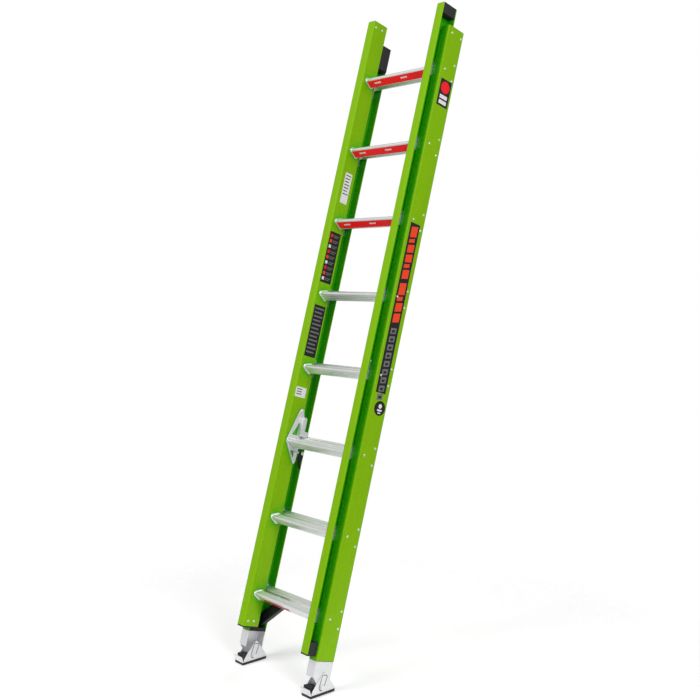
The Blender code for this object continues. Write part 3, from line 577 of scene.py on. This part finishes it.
def mixed(tree, share, first, second):
    """Two colours mixed by a mask."""
    made = tree.nodes.new("ShaderNodeMix")
    made.data_type = "RGBA"
    for key, value in ((0, share), (6, first), (7, second)):
        if isinstance(value, bpy.types.NodeSocket):
            tree.links.new(value, made.inputs[key])
        elif key == 0:
            made.inputs[key].default_value = value
        else:
            made.inputs[key].default_value = (*value, 1.0)
    return made.outputs[2]


def ranged(tree, mask, low, high):
    """A mask spread between two values."""
    return add_node(tree, "ShaderNodeMapRange",
                    {"Value": mask, "To Min": low, "To Max": high}).outputs["Result"]


def bumped(tree, height, distance):
    """A normal from a height mask."""
    return add_node(tree, "ShaderNodeBump", {"Height": height, "Distance": distance,
                                             "Strength": 1.0}).outputs["Normal"]


def finish(name, fill, **constants):
    """A material made once, with a Principled shader that fill wires up."""
    made = bpy.data.materials.get(name)
    if made is None:
        made = bpy.data.materials.new(name)
        made.use_nodes = True
        tree = made.node_tree
        shader = tree.nodes["Principled BSDF"]
        for key, value in constants.items():
            shader.inputs[key.replace("_", " ")].default_value = value
        for key, socket in fill(tree).items():
            tree.links.new(socket, shader.inputs[key])
    return made


# ======== Finishes =======================================================

def colours():
    """The colour settings of the scene."""
    return bpy.context.scene.ladder_colours


def fibreglass():
    """Lime glass fibre: long rovings under a thin glossy resin skin, with painted shade deep in
    its channels.
    """
    def fill(tree):
        paint = colours()
        fibres = grain_mask(tree, 420.0, (1.0, 1.0, 0.012))
        clouds = grain_mask(tree, 9.0, (1.0, 1.0, 0.35))
        veil = grain_mask(tree, 1500.0, (1.0, 1.0, 0.25))
        body = mixed(tree, ranged(tree, fibres, 0.0, 0.30), paint.lime, paint.deep_lime)
        body = mixed(tree, ranged(tree, clouds, 0.0, 0.16), body, paint.deep_lime)
        # painted shade: recesses and channels turn deep green by how shut in they are
        body = mixed(tree, painted_shade_mask(tree, 0.95, 0.06), body, paint.shade)
        body = mixed(tree, wear_mask(tree, 0.35), body, (0.36, 0.60, 0.01))
        body = mixed(tree, dust_mask(tree, 0.04), body, (0.30, 0.44, 0.05))
        return {"Base Color": body, "Roughness": ranged(tree, clouds, 0.30, 0.42),
                "Normal": bumped(tree, ranged(tree, fibres, 0.0, 1.0), 0.00006),
                "Coat Weight": ranged(tree, veil, 0.01, 0.05)}
    return finish("lime_glass_fibre", fill, Coat_Roughness=0.18, IOR=1.5,
                  Specular_IOR_Level=0.10)


def sawn_end_and_edge_shade():
    """The rails' cut ends, where the glass shows dull and dark; the same finish on their eased
    edges is painted shade.
    """
    def fill(tree):
        paint = colours()
        strands = grain_mask(tree, 2600.0)
        body = mixed(tree, ranged(tree, strands, 0.0, 0.8), paint.sawn,
                     (0.12, 0.16, 0.05))
        return {"Base Color": body, "Roughness": ranged(tree, strands, 0.6, 0.85),
                "Normal": bumped(tree, strands, 0.0001)}
    return finish("sawn_fibre_and_edge_shade", fill)


def metal(name, tone, scale, stretch, rough, depth, wear=0.25, dust=0.12):
    """A bare metal with its own grain, darker patches and rubbed edges."""
    def fill(tree):
        lines = grain_mask(tree, scale, stretch)
        patches = grain_mask(tree, 25.0)
        dark = tuple(c * 0.80 for c in tone)
        body = mixed(tree, ranged(tree, lines, 0.0, 0.35), tone, dark)
        body = mixed(tree, ranged(tree, patches, 0.0, 0.18), body, dark)
        body = mixed(tree, wear_mask(tree, wear), body, (0.92, 0.92, 0.93))
        body = mixed(tree, dust_mask(tree, dust), body, (0.62, 0.60, 0.56))
        return {"Base Color": body, "Roughness": ranged(tree, lines, *rough),
                "Normal": bumped(tree, lines, depth)}
    return finish(name, fill, Metallic=0.85)


def extruded_aluminium():
    """Mill-finish rungs with die lines along them."""
    return metal("extruded_aluminium", colours().aluminium, 900.0, (0.01, 1.0, 1.0),
                 (0.26, 0.44), 0.00005)


def cast_aluminium():
    """Satin castings and pressings with a fine even grain."""
    return metal("cast_aluminium", colours().cast, 700.0, (1.0, 1.0, 1.0),
                 (0.38, 0.58), 0.00009)


def zinc_plate():
    """Bright zinc on bolts, pins, springs and rivets."""
    return metal("zinc_plate", colours().zinc, 500.0, (1.0, 1.0, 1.0),
                 (0.24, 0.40), 0.00003, wear=0.15, dust=0.08)


def moulded(name, tone, light, scale, rough, depth, dust=0.25, **constants):
    """A dark moulded or painted finish with a fine texture."""
    def fill(tree):
        pores = grain_mask(tree, scale)
        body = mixed(tree, ranged(tree, pores, 0.0, 0.5), tone, light)
        body = mixed(tree, wear_mask(tree, 0.5), body, tuple(c * 3.0 for c in light))
        body = mixed(tree, dust_mask(tree, dust), body, (0.16, 0.155, 0.14))
        return {"Base Color": body, "Roughness": ranged(tree, pores, *rough),
                "Normal": bumped(tree, pores, depth)}
    return finish(name, fill, **constants)


def black_plastic():
    """Guides and caps in grained black plastic."""
    return moulded("black_plastic", colours().plastic, (0.014, 0.014, 0.016), 900.0,
                   (0.42, 0.60), 0.00008, dust=0.08)


def black_paint():
    """Semi-gloss paint on pressed steel."""
    return moulded("black_paint", colours().paint, (0.009, 0.009, 0.010), 350.0,
                   (0.34, 0.50), 0.00004, dust=0.03, Specular_IOR_Level=0.25)


def tread_rubber():
    """Matt rubber, dusty on its upper faces."""
    return moulded("tread_rubber", colours().rubber, (0.03, 0.03, 0.029), 1300.0,
                   (0.78, 0.95), 0.00012, dust=0.35)


def film(name, tone, gloss=0.35):
    """A printed film, faintly mottled and dusty."""
    def fill(tree):
        mottle = grain_mask(tree, 240.0)
        fade = tuple(c * 0.85 + 0.005 for c in tone)
        body = mixed(tree, ranged(tree, mottle, 0.0, 0.3), tone, fade)
        body = mixed(tree, dust_mask(tree, 0.03), body, (0.5, 0.5, 0.48))
        return {"Base Color": body,
                "Roughness": ranged(tree, mottle, gloss - 0.06, gloss + 0.08),
                "Normal": bumped(tree, mottle, 0.00002)}
    return finish(name, fill, Coat_Weight=0.05, Specular_IOR_Level=0.25)


# ======== Rails ==========================================================

class LADDER_OT_rails(bpy.types.Operator):
    """Build the four glass-fibre rails with eased corners and sawn ends"""

    bl_idname = "ladder.rails"
    bl_label = "Rails"

    def execute(self, context):
        sizes = context.scene.ladder_rails
        for label, side in SIDES:
            for kind, rail, wall, web_is_near in (
                    ("fly", FLY, sizes.fly_wall, True),
                    ("base", BASE, sizes.base_wall, False)):
                piece = Piece(fibreglass(), sawn_end_and_edge_shade())
                outline = channel(side, rail, wall, web_is_near, sizes.corner)
                piece.prism(outline, "U", rail.bottom, rail.top, 0, 1)
                made = piece.object(f"{kind}_rail_shell_{label}", sizes.edge, 2,
                                    angle=30.0)
                # painted shade: the eased edges take the dark sawn finish, a thin dark line
                # along the rails' ends
                made.modifiers["eased_edges"].material = 1
                mounted(made, kind + "_section", "fibreglass_green",
                        f"{kind}_rail_{label}")
        return {"FINISHED"}


# ======== Rungs ==========================================================

Rung = namedtuple("Rung", "nose rise lugs plate_inner half collars")


def rung_section(sizes, nose_d, growth=0.0, cut=0.0):
    """The rung's three-cornered section as (D, U), with grooves cut deep."""
    r = sizes.round
    slope = SINE / COSINE
    nose = (nose_d + r, -sizes.nose_drop)
    back = nose_d + sizes.depth - r
    top = nose[1] + (back - nose[0]) * slope
    low = top - (sizes.back_height - 2.0 * r)
    points = around([(d, u, r + growth) for d, u in (nose, (back, low), (back, top))])
    if sizes.grooves and cut > 0.0:
        per_corner = len(points) // 3
        front = grooved(points[per_corner - 1], points[per_corner], 3, 0.0022, cut)
        tread = grooved(points[-1], points[0], sizes.grooves, 0.0026, cut)
        points = points[:per_corner] + front + points[per_corner:] + tread
    return points


def rung_kinds():
    """What differs between the fly's rungs and the base's."""
    sizes = bpy.context.scene.ladder_rungs
    rails = bpy.context.scene.ladder_rails
    fly_plate = FLY.near + rails.fly_wall + SKIN
    fly_end = fly_plate + sizes.plate + sizes.collar_width
    fly_inner = FLY.near - SKIN - sizes.collar_width
    base_end = BASE.far - rails.base_wall - SKIN
    base_plate = base_end - sizes.plate - SKIN
    fly_nose, base_nose = FLY.front + FLY_NOSE, BASE.front + BASE_NOSE
    rise = (base_nose - fly_nose) * SINE / COSINE        # keeps the treads level

    def lugs(places, sink):
        front, rear = places
        return (front, -sink), (rear, LUG_RISE - sink), (rear, -LUG_DROP - sink)

    return {
        "fly": Rung(fly_nose, 0.0, lugs(FLY_LUG_D, 0.0), fly_plate, fly_end,
                    ((fly_inner, fly_inner + sizes.collar_width),
                     (fly_plate + sizes.plate / 2.0, fly_end - SKIN))),
        "base": Rung(base_nose, rise, lugs(BASE_LUG_D, rise), base_plate, base_end,
                     ((base_plate - sizes.collar_width, base_plate + sizes.plate / 2.0),)),
    }


def rung_height(number):
    """How far up the rails a rung stands, from its end plate's lowest lug."""
    sizes = bpy.context.scene.ladder_rungs
    kind = rung_kinds()["fly"]
    drop, down = kind.lugs[2]
    low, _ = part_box(f"fly_rung_{number}")
    level = low.z + sizes.lug + SINE * (kind.nose + drop) - LADDER.translation.z
    return level / COSINE - down


class LADDER_OT_rungs(bpy.types.Operator):
    """Build the grooved rungs with their swaged collars and end plates"""

    bl_idname = "ladder.rungs"
    bl_label = "Rungs"

    def execute(self, context):
        sizes = context.scene.ladder_rungs
        for section, kind in rung_kinds().items():
            piece = Piece(extruded_aluminium())
            outer = rung_section(sizes, kind.nose, 0.0, sizes.groove_depth)
            inner = rung_section(sizes, kind.nose, -sizes.wall, SKIN / 10.0)
            piece.tube(outer, inner, "X", -kind.half, kind.half)
            ring = [(kind.nose + d, u, sizes.lug) for d, u in kind.lugs]
            plate = around([ring[0], ring[2], ring[1]])
            flare = rung_section(sizes, kind.nose, sizes.collar)
            for _, side in SIDES:
                piece.prism(plate, "X", side * kind.plate_inner,
                            side * (kind.plate_inner + sizes.plate))
                for start, end in kind.collars:
                    piece.prism(flare, "X", side * start, side * end)
            pattern = piece.object(section + "_rung_pattern", 0.0007, 2)
            for number in RUNGS:
                made = pattern.copy()
                made.name = f"{section}_rung_grooved_{number}"
                made.matrix_world = LADDER @ Matrix.Translation(
                    (0.0, 0.0, rung_height(number) + kind.rise))
                context.scene.collection.objects.link(made)
                mounted(made, section + "_section", "aluminium_extruded",
                        f"{section}_rung_{number}")
            bpy.data.objects.remove(pattern)
        return {"FINISHED"}


class LADDER_OT_rung_labels(bpy.types.Operator):
    """Lay red films with plain marks on the top rungs and under the lowest"""

    bl_idname = "ladder.rung_labels"
    bl_label = "Rung labels"

    def execute(self, context):
        sizes = context.scene.ladder_rungs
        thick = context.scene.ladder_fixings.label
        kind = rung_kinds()["fly"]
        outline = rung_section(sizes, kind.nose)
        per_corner = len(outline) // 3
        upper, lower = Vector(outline[per_corner - 1]), Vector(outline[per_corner])
        along = (lower - upper).normalized()
        out = Vector((along.y, -along.x))
        half = FLY.near - sizes.collar_width - 2.0 * SKIN - FILM_GAP

        def patch(piece, x0, x1, t0, t1, material, lift):
            corners = [upper + along * t0 + out * lift, upper + along * t1 + out * lift,
                       upper + along * t1 - out * FILM_SUNK,
                       upper + along * t0 - out * FILM_SUNK]
            piece.prism([tuple(c) for c in corners], "X", x0, x1, material)

        run = (lower - upper).length
        for number in list(RUNGS)[-3:]:
            piece = Piece(film("red_film", colours().red),
                          film("white_film", colours().white))
            patch(piece, -half, half, FILM_GAP, run + FILM_PAST, 0, thick)
            for start in (-0.78, 0.10):
                for mark in range(4):
                    x = half * (start + 0.055 * mark)
                    patch(piece, x, x + half * 0.038, run * 0.38, run * 0.62, 1,
                          thick + SKIN / 3.0)
            made = piece.object(f"rung_film_{number}",
                                world=LADDER @ Matrix.Translation(
                                    (0.0, 0.0, rung_height(number))))
            mounted(made, "fly_section", "aluminium_extruded")
        piece = Piece(film("dark_red_film", tuple(c * 0.45 for c in colours().red)))
        patch(piece, -half * 0.80, half * 0.15, run * 0.45, run, 0, thick)
        made = piece.object("rung_film_1", world=LADDER @ Matrix.Translation(
            (0.0, 0.0, rung_height(1))))
        mounted(made, "fly_section", "aluminium_extruded")
        return {"FINISHED"}


# ======== Rivets =========================================================

def rivet_head(piece, side, x, d, u, outward):
    """A low domed head on a web, looking out from or in to the middle."""
    sizes = bpy.context.scene.ladder_fixings
    r, h = sizes.rivet, sizes.rivet_height
    profile = [(0.0, h), (0.45 * r, 0.93 * h), (0.8 * r, 0.62 * h), (r, 0.18 * h),
               (r, -SKIN), (0.0, -SKIN)]
    piece.turned(profile, (side * x, d, u), (side * outward, 0.0, 0.0))


class LADDER_OT_rivets(bpy.types.Operator):
    """Set the rivets that hold the end plates, guides and caps"""

    bl_idname = "ladder.rivets"
    bl_label = "Rivets"

    def execute(self, context):
        kinds = rung_kinds()
        rungs = context.scene.ladder_rungs
        top_guide = ((BASE.front + 0.024, BASE.top - 0.0245),
                     (BASE.front + 0.077, BASE.top - 0.0290))
        cap_and_foot = ((FLY.front + 0.014, FLY.top - 0.025),
                        (FLY.front + 0.049, FLY.top - 0.024),
                        (FLY.front + 0.018, FLY.bottom + 0.022),
                        (FLY.front + 0.046, FLY.bottom + 0.022))
        for label, side in SIDES:
            base, fly = Piece(zinc_plate()), Piece(zinc_plate())
            for number in RUNGS:
                height = rung_height(number)
                for d, u in kinds["base"].lugs:
                    spot = (kinds["base"].nose + d, height + kinds["base"].rise + u)
                    rivet_head(base, side, BASE.far, *spot, 1.0)
                    rivet_head(base, side, kinds["base"].plate_inner, *spot, -1.0)
                for d, u in kinds["fly"].lugs:
                    spot = (kinds["fly"].nose + d, height + u)
                    rivet_head(fly, side, kinds["fly"].plate_inner + rungs.plate, *spot, 1.0)
            for d, u in top_guide:
                rivet_head(base, side, BASE.far, d, u, 1.0)
            for d, u in cap_and_foot:
                rivet_head(fly, side, FLY.near, d, u, -1.0)
            mounted(base.object("base_rivets_" + label), "base_section", "zinc_steel")
            mounted(fly.object("fly_rivets_" + label), "fly_section", "zinc_steel")
        return {"FINISHED"}


# ======== Labels on the rails ============================================

class Label:
    """A thin film on a web face with plain printed blocks on it."""

    def __init__(self, name, side, x, outward, body, box, ground):
        self.name, self.side, self.x, self.outward, self.body = name, side, x, outward, body
        self.front, self.back, self.bottom, self.top = box
        self.thick = bpy.context.scene.ladder_fixings.label
        self.piece = Piece(ground, film("orange_film", colours().orange),
                           film("white_film", colours().white),
                           film("grey_film", colours().grey),
                           film("red_film", colours().red),
                           film("black_film", colours().film))

    def sheet(self, outline, layer, material):
        """One printed layer, from its (D, U) outline."""
        under = self.side * (self.x - self.outward * self.thick)
        over = self.side * (self.x + self.outward * self.thick * (1.0 + 0.5 * layer))
        self.piece.prism(outline, "X", under, over, material)

    def ground(self, corner=0.003):
        """The film itself."""
        f, b, lo, hi = self.front, self.back, self.bottom, self.top
        self.sheet(rounded([(f, lo, corner), (b, lo, corner), (b, hi, corner),
                            (f, hi, corner)]), 0, 0)
        return self

    def block(self, d0, d1, u0, u1, material, slant=0.0, layer=1):
        """A printed block, placed by shares of the film's depth and height."""
        wide, tall = self.back - self.front, self.top - self.bottom
        outline = [(d0, u0), (d1, u0 + slant), (d1, u1 + slant), (d0, u1)]
        self.sheet([(self.front + d * wide, self.bottom + u * tall) for d, u in outline],
                   layer, material)
        return self

    def disc(self, middle_d, middle_u, radius, material, layer=1):
        """A printed disc, placed in metres."""
        self.sheet(arc((middle_d, middle_u), radius, 0.0, 352.5, 47), layer, material)
        return self

    def place(self):
        """Ends the label and rides it on its section."""
        made = self.piece.object(self.name)
        return mounted(made, self.body, "fibreglass_green")


class LADDER_OT_rail_labels(bpy.types.Operator):
    """Lay plain printed films on the rails, with blocks and lines only"""

    bl_idname = "ladder.rail_labels"
    bl_label = "Rail labels"

    def execute(self, context):
        paint = colours()
        black = film("black_film", paint.film)
        white = film("white_film", paint.white)
        outside = (1, BASE.far, 1.0, "base_section")
        for name, side in (("side_band", 1), ("side_band_far", -1)):
            band = Label(name, side, BASE.far, 1.0, "base_section",
                         (0.053, 0.104, 1.095, 1.757), black).ground()
            self.band_blocks(band)
            band.place()
        badge = Label("top_badge", *outside, (0.054, 0.115, 2.233, 2.340), black).ground()
        badge.disc(0.0845, 2.309, 0.0235, 4)
        badge.block(0.16, 0.84, 0.28, 0.42, 2).block(0.16, 0.84, 0.08, 0.22, 2)
        badge.place()
        token = Label("round_token", *outside, (0.062, 0.118, 1.010, 1.066), black)
        token.disc(0.090, 1.038, 0.028, 0, 0).disc(0.091, 1.046, 0.0085, 2)
        token.block(0.30, 0.72, 0.30, 0.42, 2).block(0.38, 0.64, 0.14, 0.22, 2)
        token.place()
        self.inner_labels(black, white)
        return {"FINISHED"}

    def band_blocks(self, band):
        """Bright slanted bars of uneven length above, and grey frames below."""
        start, gap = 0.975, 0.012
        for index, share in enumerate((0.062, 0.022, 0.046, 0.046, 0.022, 0.052,
                                       0.070, 0.024, 0.050, 0.052)):
            low = start - share
            inset = 0.26 if index % 3 == 1 else 0.16
            band.block(0.18, 1.0 - inset, low, start, 1, 0.012)
            start = low - gap * (2.2 if index == 5 else 1.0)
        start -= 0.02
        for index in range(9):
            low = start - 0.034
            band.block(0.22, 0.78, low, start, 3, 0.008)
            band.block(0.36, 0.64, low + 0.010, start - 0.010, 5, 0.004, 2)
            start = low - 0.014

    def inner_labels(self, black, white):
        """Films on the inner face of the left fly web."""
        inside = (-1, FLY.near, -1.0, "fly_section")
        notice = Label("notice_film", *inside, (0.020, 0.057, 1.846, 1.975), white).ground()
        for line in range(7):
            notice.block(0.12, 0.88 - 0.10 * (line % 3), 0.90 - 0.10 * line,
                         0.93 - 0.10 * line, 5)
        notice.place()
        chart = Label("chart_film", *inside, (0.007, 0.064, 1.507, 1.720), black).ground()
        for row in range(9):
            top = 0.95 - 0.105 * row
            chart.block(0.10, 0.30, top - 0.060, top, (4, 1, 2)[row % 3])
            chart.block(0.38, 0.90, top - 0.022, top - 0.008, 3)
            chart.block(0.38, 0.78, top - 0.054, top - 0.040, 3)
        chart.place()
        table = Label("table_film", *inside, (0.008, 0.066, 1.199, 1.412), black).ground()
        for row in range(12):
            top = 0.95 - 0.077 * row
            table.block(0.10, 0.90 - 0.12 * (row % 2), top - 0.030, top, 3)
        table.place()
        small = Label("small_film", *inside, (0.005, 0.059, 1.031, 1.072), white).ground()
        for row in range(3):
            small.block(0.12, 0.60, 0.74 - 0.24 * row, 0.82 - 0.24 * row, 5)
        small.place()


# ======== Guides, caps, braces ===========================================

class LADDER_OT_guides(bpy.types.Operator):
    """Finish the plastic guides and caps and the painted braces"""

    bl_idname = "ladder.guides"
    bl_label = "Guides and braces"

    def execute(self, context):
        kept(both("base_top_guide", "fly_top_cap", "fly_bottom_guide"),
             black_plastic(), 0.0007)
        kept(both("rung_brace"), black_paint(), 0.0010)
        return {"FINISHED"}


# ======== Feet ===========================================================

class LADDER_OT_feet(bpy.types.Operator):
    """Finish the boots and shoes, and fit toothed treads, dark loops and black blocks of painted
    shade in the shoes' fronts
    """

    bl_idname = "ladder.feet"
    bl_label = "Feet"

    def execute(self, context):
        kept(both("boot", "shoe"), cast_aluminium(), 0.0007)
        kept(both("foot_bolt"), zinc_plate(), 0.0005)
        for label, side in SIDES:
            self.tread(label)
            self.loop_and_shade_block(label, side)
        return {"FINISHED"}

    def tread(self, label):
        """A rubber sole with a row of teeth under it and ribs on its sides."""
        sizes = bpy.context.scene.ladder_fixings
        low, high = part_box("shoe_pad_" + label)
        count = round((high.y - low.y) / sizes.tread_pitch)
        pitch = (high.y - low.y) / count
        outline = [(high.y, high.z), (low.y, high.z)]
        toe = 0.0015                                 # height of the sole's front edge
        for i in range(count):
            start = low.y + pitch * i
            outline += [(start, low.z + (toe if i == 0 else sizes.tread_depth)),
                        (start + 0.12 * pitch, low.z), (start + 0.72 * pitch, low.z),
                        (start + 0.84 * pitch, low.z + sizes.tread_depth)]
        piece = Piece(tread_rubber())
        piece.prism(outline, "X", low.x, high.x)
        made = piece.object("toothed_tread_" + label, 0.0005, 2, Matrix.Identity(4))
        mounted(made, "shoe_" + label, "rubber", "shoe_pad_" + label)

    def loop_and_shade_block(self, label, side):
        """The dark pressed loop around the bolt on both side plates, and a black block of
        painted shade in the shoe's open front.
        """
        pad_low, pad_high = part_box("shoe_pad_" + label)
        piece = Piece(black_plastic())
        y, z = SHOE_PIVOT.y, SHOE_PIVOT.z
        line, sunk, inset = 0.0026, 0.0010, 0.0005   # loop's width, its depth, plates' inset
        ring = ((-0.004, 0.001, 0.012), (0.017, 0.036, 0.008), (0.006, 0.040, 0.007))
        outer, inner = (around([(y + across, z + up, r - less) for across, up, r in ring])
                        for less in (0.0, line))
        near, far = sorted((abs(pad_low.x), abs(pad_high.x)))
        near, far = near + inset, far - inset
        for plate, way in ((far, 1.0), (near, -1.0)):
            piece.tube(outer, inner, "X", side * (plate - way * sunk),
                       side * (plate + way * SKIN))
        # painted shade: a black block fills the shoe's open front under the boot, where there is
        # only shade
        under = pad_high.z + 0.0036
        front_shade_block = rounded([(y - 0.053, under, 0.002), (y - 0.013, under, 0.002),
                          (y - 0.013, z + 0.006, 0.003), (y - 0.050, z + 0.013, 0.004)])
        piece.prism(front_shade_block, "X", side * (near + 0.0045), side * (far - 0.0090))
        made = piece.object("shoe_trim_" + label, 0.0003, 2, Matrix.Identity(4))
        mounted(made, "shoe_" + label, "black_plastic")


# ======== Rung locks =====================================================

class LADDER_OT_locks(bpy.types.Operator):
    """Finish the rung locks, wind their springs and fit the slide's stop"""

    bl_idname = "ladder.locks"
    bl_label = "Rung locks"

    def execute(self, context):
        kept(both("lock_bracket", "lock_hook"), cast_aluminium(), 0.0008)
        kept(both("lock_flipper"), black_paint(), 0.0010)
        kept(both("lock_bolt", "hook_pin", "flipper_pin"), zinc_plate(),
             0.0004)
        for label, _ in SIDES:
            self.spring(label)
        self.slide_stop()
        return {"FINISHED"}

    def spring(self, label):
        """The flipper's return spring, wound round its pin."""
        low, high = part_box("lock_spring_" + label)
        pivot = Vector(joint("flipper_swing_" + label)["pos_m"])
        wire = 0.0006
        radius = (high.y - low.y) / 2.0 - wire
        turns, per_turn = 3, 24
        data = bpy.data.curves.new("flipper_spring_" + label, "CURVE")
        data.dimensions = "3D"
        data.bevel_depth = wire
        data.bevel_resolution = 3
        data.use_fill_caps = True
        spline = data.splines.new("POLY")
        spline.points.add(turns * per_turn)
        span = high.x - low.x - 2.0 * wire
        for i, point in enumerate(spline.points):
            angle = 2.0 * math.pi * i / per_turn
            point.co = (low.x + wire + span * i / (turns * per_turn),
                        pivot.y + radius * math.cos(angle),
                        pivot.z + radius * math.sin(angle), 1.0)
        data.materials.append(zinc_plate())
        made = bpy.data.objects.new("flipper_spring_" + label, data)
        bpy.context.scene.collection.objects.link(made)
        mounted(made, "fly_section", "zinc_steel", "lock_spring_" + label)

    def slide_stop(self):
        """A small riveted metal stop on the outside of the right fly web."""
        web = FLY.near + bpy.context.scene.ladder_rails.fly_wall
        front, back, low, high, face = 0.040, 0.050, 1.161, 1.215, web + 0.0016
        piece = Piece(cast_aluminium())
        piece.prism(rounded([(front, low, 0.003), (back, low, 0.003),
                             (back, high, 0.003), (front, high, 0.003)]),
                    "X", web - SKIN, face)
        for u in (low + 0.009, high - 0.009):
            rivet_head(piece, 1, face, 0.045, u, 1.0)
        mounted(piece.object("slide_stop_right", 0.0003), "fly_section", "aluminium_cast")


# ======== Stage ==========================================================

class LADDER_OT_stage(bpy.types.Operator):
    """Lay the pale floor and set the soft lights and the camera"""

    bl_idname = "ladder.stage"
    bl_label = "Stage"

    def execute(self, context):
        stage = context.scene.ladder_stage
        floor = Piece(self.floor_finish())
        floor.prism(arc((0.0, 0.0), stage.floor, 0.0, 357.0, 119), "U", FLOOR_UNDER,
                    FLOOR_TOP)
        made = floor.object("studio_floor", world=Matrix.Identity(4))
        self.world(context.scene, stage.fill)
        self.area("key_light", -14.0, 34.0, (2.4, 3.0), stage.key)
        self.area("side_light", 74.0, 24.0, (1.8, 3.2), stage.side)
        self.area("back_light", 200.0, 40.0, (2.4, 2.4), stage.back)
        self.camera(context.scene, stage)
        context.scene.view_settings.view_transform = "Standard"
        return {"FINISHED"}

    def floor_finish(self):
        """A matt white floor that thins out into the surround."""
        def fill(tree):
            mottle = grain_mask(tree, 3.0)
            reach = add_node(tree, "ShaderNodeVectorMath", {0: own_place(tree)},
                             operation="LENGTH").outputs["Value"]
            radius = bpy.context.scene.ladder_stage.floor
            solid = add_node(tree, "ShaderNodeMapRange",
                             {"Value": reach, "From Min": 0.35 * radius,
                              "From Max": radius, "To Min": 1.0, "To Max": 0.0},
                             interpolation_type="SMOOTHSTEP").outputs["Result"]
            return {"Base Color": mixed(tree, mottle, (0.95, 0.95, 0.95),
                                        (0.97, 0.97, 0.97)), "Alpha": solid}
        return finish("studio_floor", fill, Roughness=0.9, Emission_Strength=0.16,
                      Emission_Color=(1.0, 1.0, 1.0, 1.0))

    def world(self, scene, strength):
        """A white surround that lights the ladder more gently than it shows."""
        scene.world = bpy.data.worlds.new("studio_surround")
        scene.world.use_nodes = True
        tree = scene.world.node_tree
        path = add_node(tree, "ShaderNodeLightPath").outputs
        mirrored = add_node(tree, "ShaderNodeMapRange",
                            {"Value": path["Is Glossy Ray"], "To Min": strength,
                             "To Max": strength * MIRROR_LIFT})
        level = add_node(tree, "ShaderNodeMapRange",
                         {"Value": path["Is Camera Ray"],
                          "To Min": mirrored.outputs["Result"], "To Max": 1.0})
        ground = tree.nodes["Background"]
        ground.inputs["Color"].default_value = (1.0, 1.0, 1.0, 1.0)
        tree.links.new(level.outputs["Result"], ground.inputs["Strength"])

    def area(self, name, azimuth, elevation, size, watts):
        """A soft light that looks at the ladder's middle from a given direction."""
        data = bpy.data.lights.new(name, "AREA")
        data.shape = "RECTANGLE"
        data.size, data.size_y = size
        data.energy = watts
        turn, rise = math.radians(azimuth), math.radians(elevation)
        back = Vector((math.sin(turn) * math.cos(rise),
                       -math.cos(turn) * math.cos(rise), math.sin(rise)))
        light = bpy.data.objects.new(name, data)
        light.location = (CAD_BOX[0] + CAD_BOX[1]) / 2.0 + back * LIGHT_REACH
        light.rotation_euler = (-back).to_track_quat("-Z", "Y").to_euler()
        bpy.context.scene.collection.objects.link(light)

    def camera(self, scene, stage):
        """The camera, level from side to side."""
        data = bpy.data.cameras.new("camera")
        data.lens = stage.lens
        data.sensor_width = 36.0
        camera = bpy.data.objects.new("camera", data)
        camera.location = stage.place
        camera.rotation_euler = (math.pi / 2.0 - stage.elevation, 0.0, stage.azimuth)
        scene.collection.objects.link(camera)
        scene.camera = camera


# ======== Panel and registration =========================================

OPERATORS = (LADDER_OT_stage, LADDER_OT_rails, LADDER_OT_rungs, LADDER_OT_rung_labels,
             LADDER_OT_rivets, LADDER_OT_rail_labels, LADDER_OT_guides,
             LADDER_OT_feet, LADDER_OT_locks)


class LADDER_PT_pieces(bpy.types.Panel):
    """Lists the ladder's pieces and their sizes"""

    bl_idname = "LADDER_PT_pieces"
    bl_label = "Extension ladder"
    bl_space_type = "VIEW_3D"
    bl_region_type = "UI"
    bl_category = "Ladder"

    def draw(self, context):
        for operator in OPERATORS:
            self.layout.operator(operator.bl_idname)
        for name, group in SETTINGS.items():
            box = self.layout.box()
            box.label(text=group.__doc__)
            for prop in group.__annotations__:
                box.prop(getattr(context.scene, name), prop)


CLASSES = (*SETTINGS.values(), *OPERATORS, LADDER_PT_pieces)


def register():
    """Registers the classes and puts the settings on the scene."""
    for cls in CLASSES:
        bpy.utils.register_class(cls)
    for name, group in SETTINGS.items():
        setattr(bpy.types.Scene, name, PointerProperty(type=group))


def unregister():
    """Takes the settings and the classes away again."""
    for name in SETTINGS:
        delattr(bpy.types.Scene, name)
    for cls in reversed(CLASSES):
        bpy.utils.unregister_class(cls)


def main():
    """Builds everything in order."""
    register()
    for operator in OPERATORS:
        getattr(bpy.ops.ladder, operator.bl_idname.split(".")[1])()


if __name__ == "__main__":
    main()
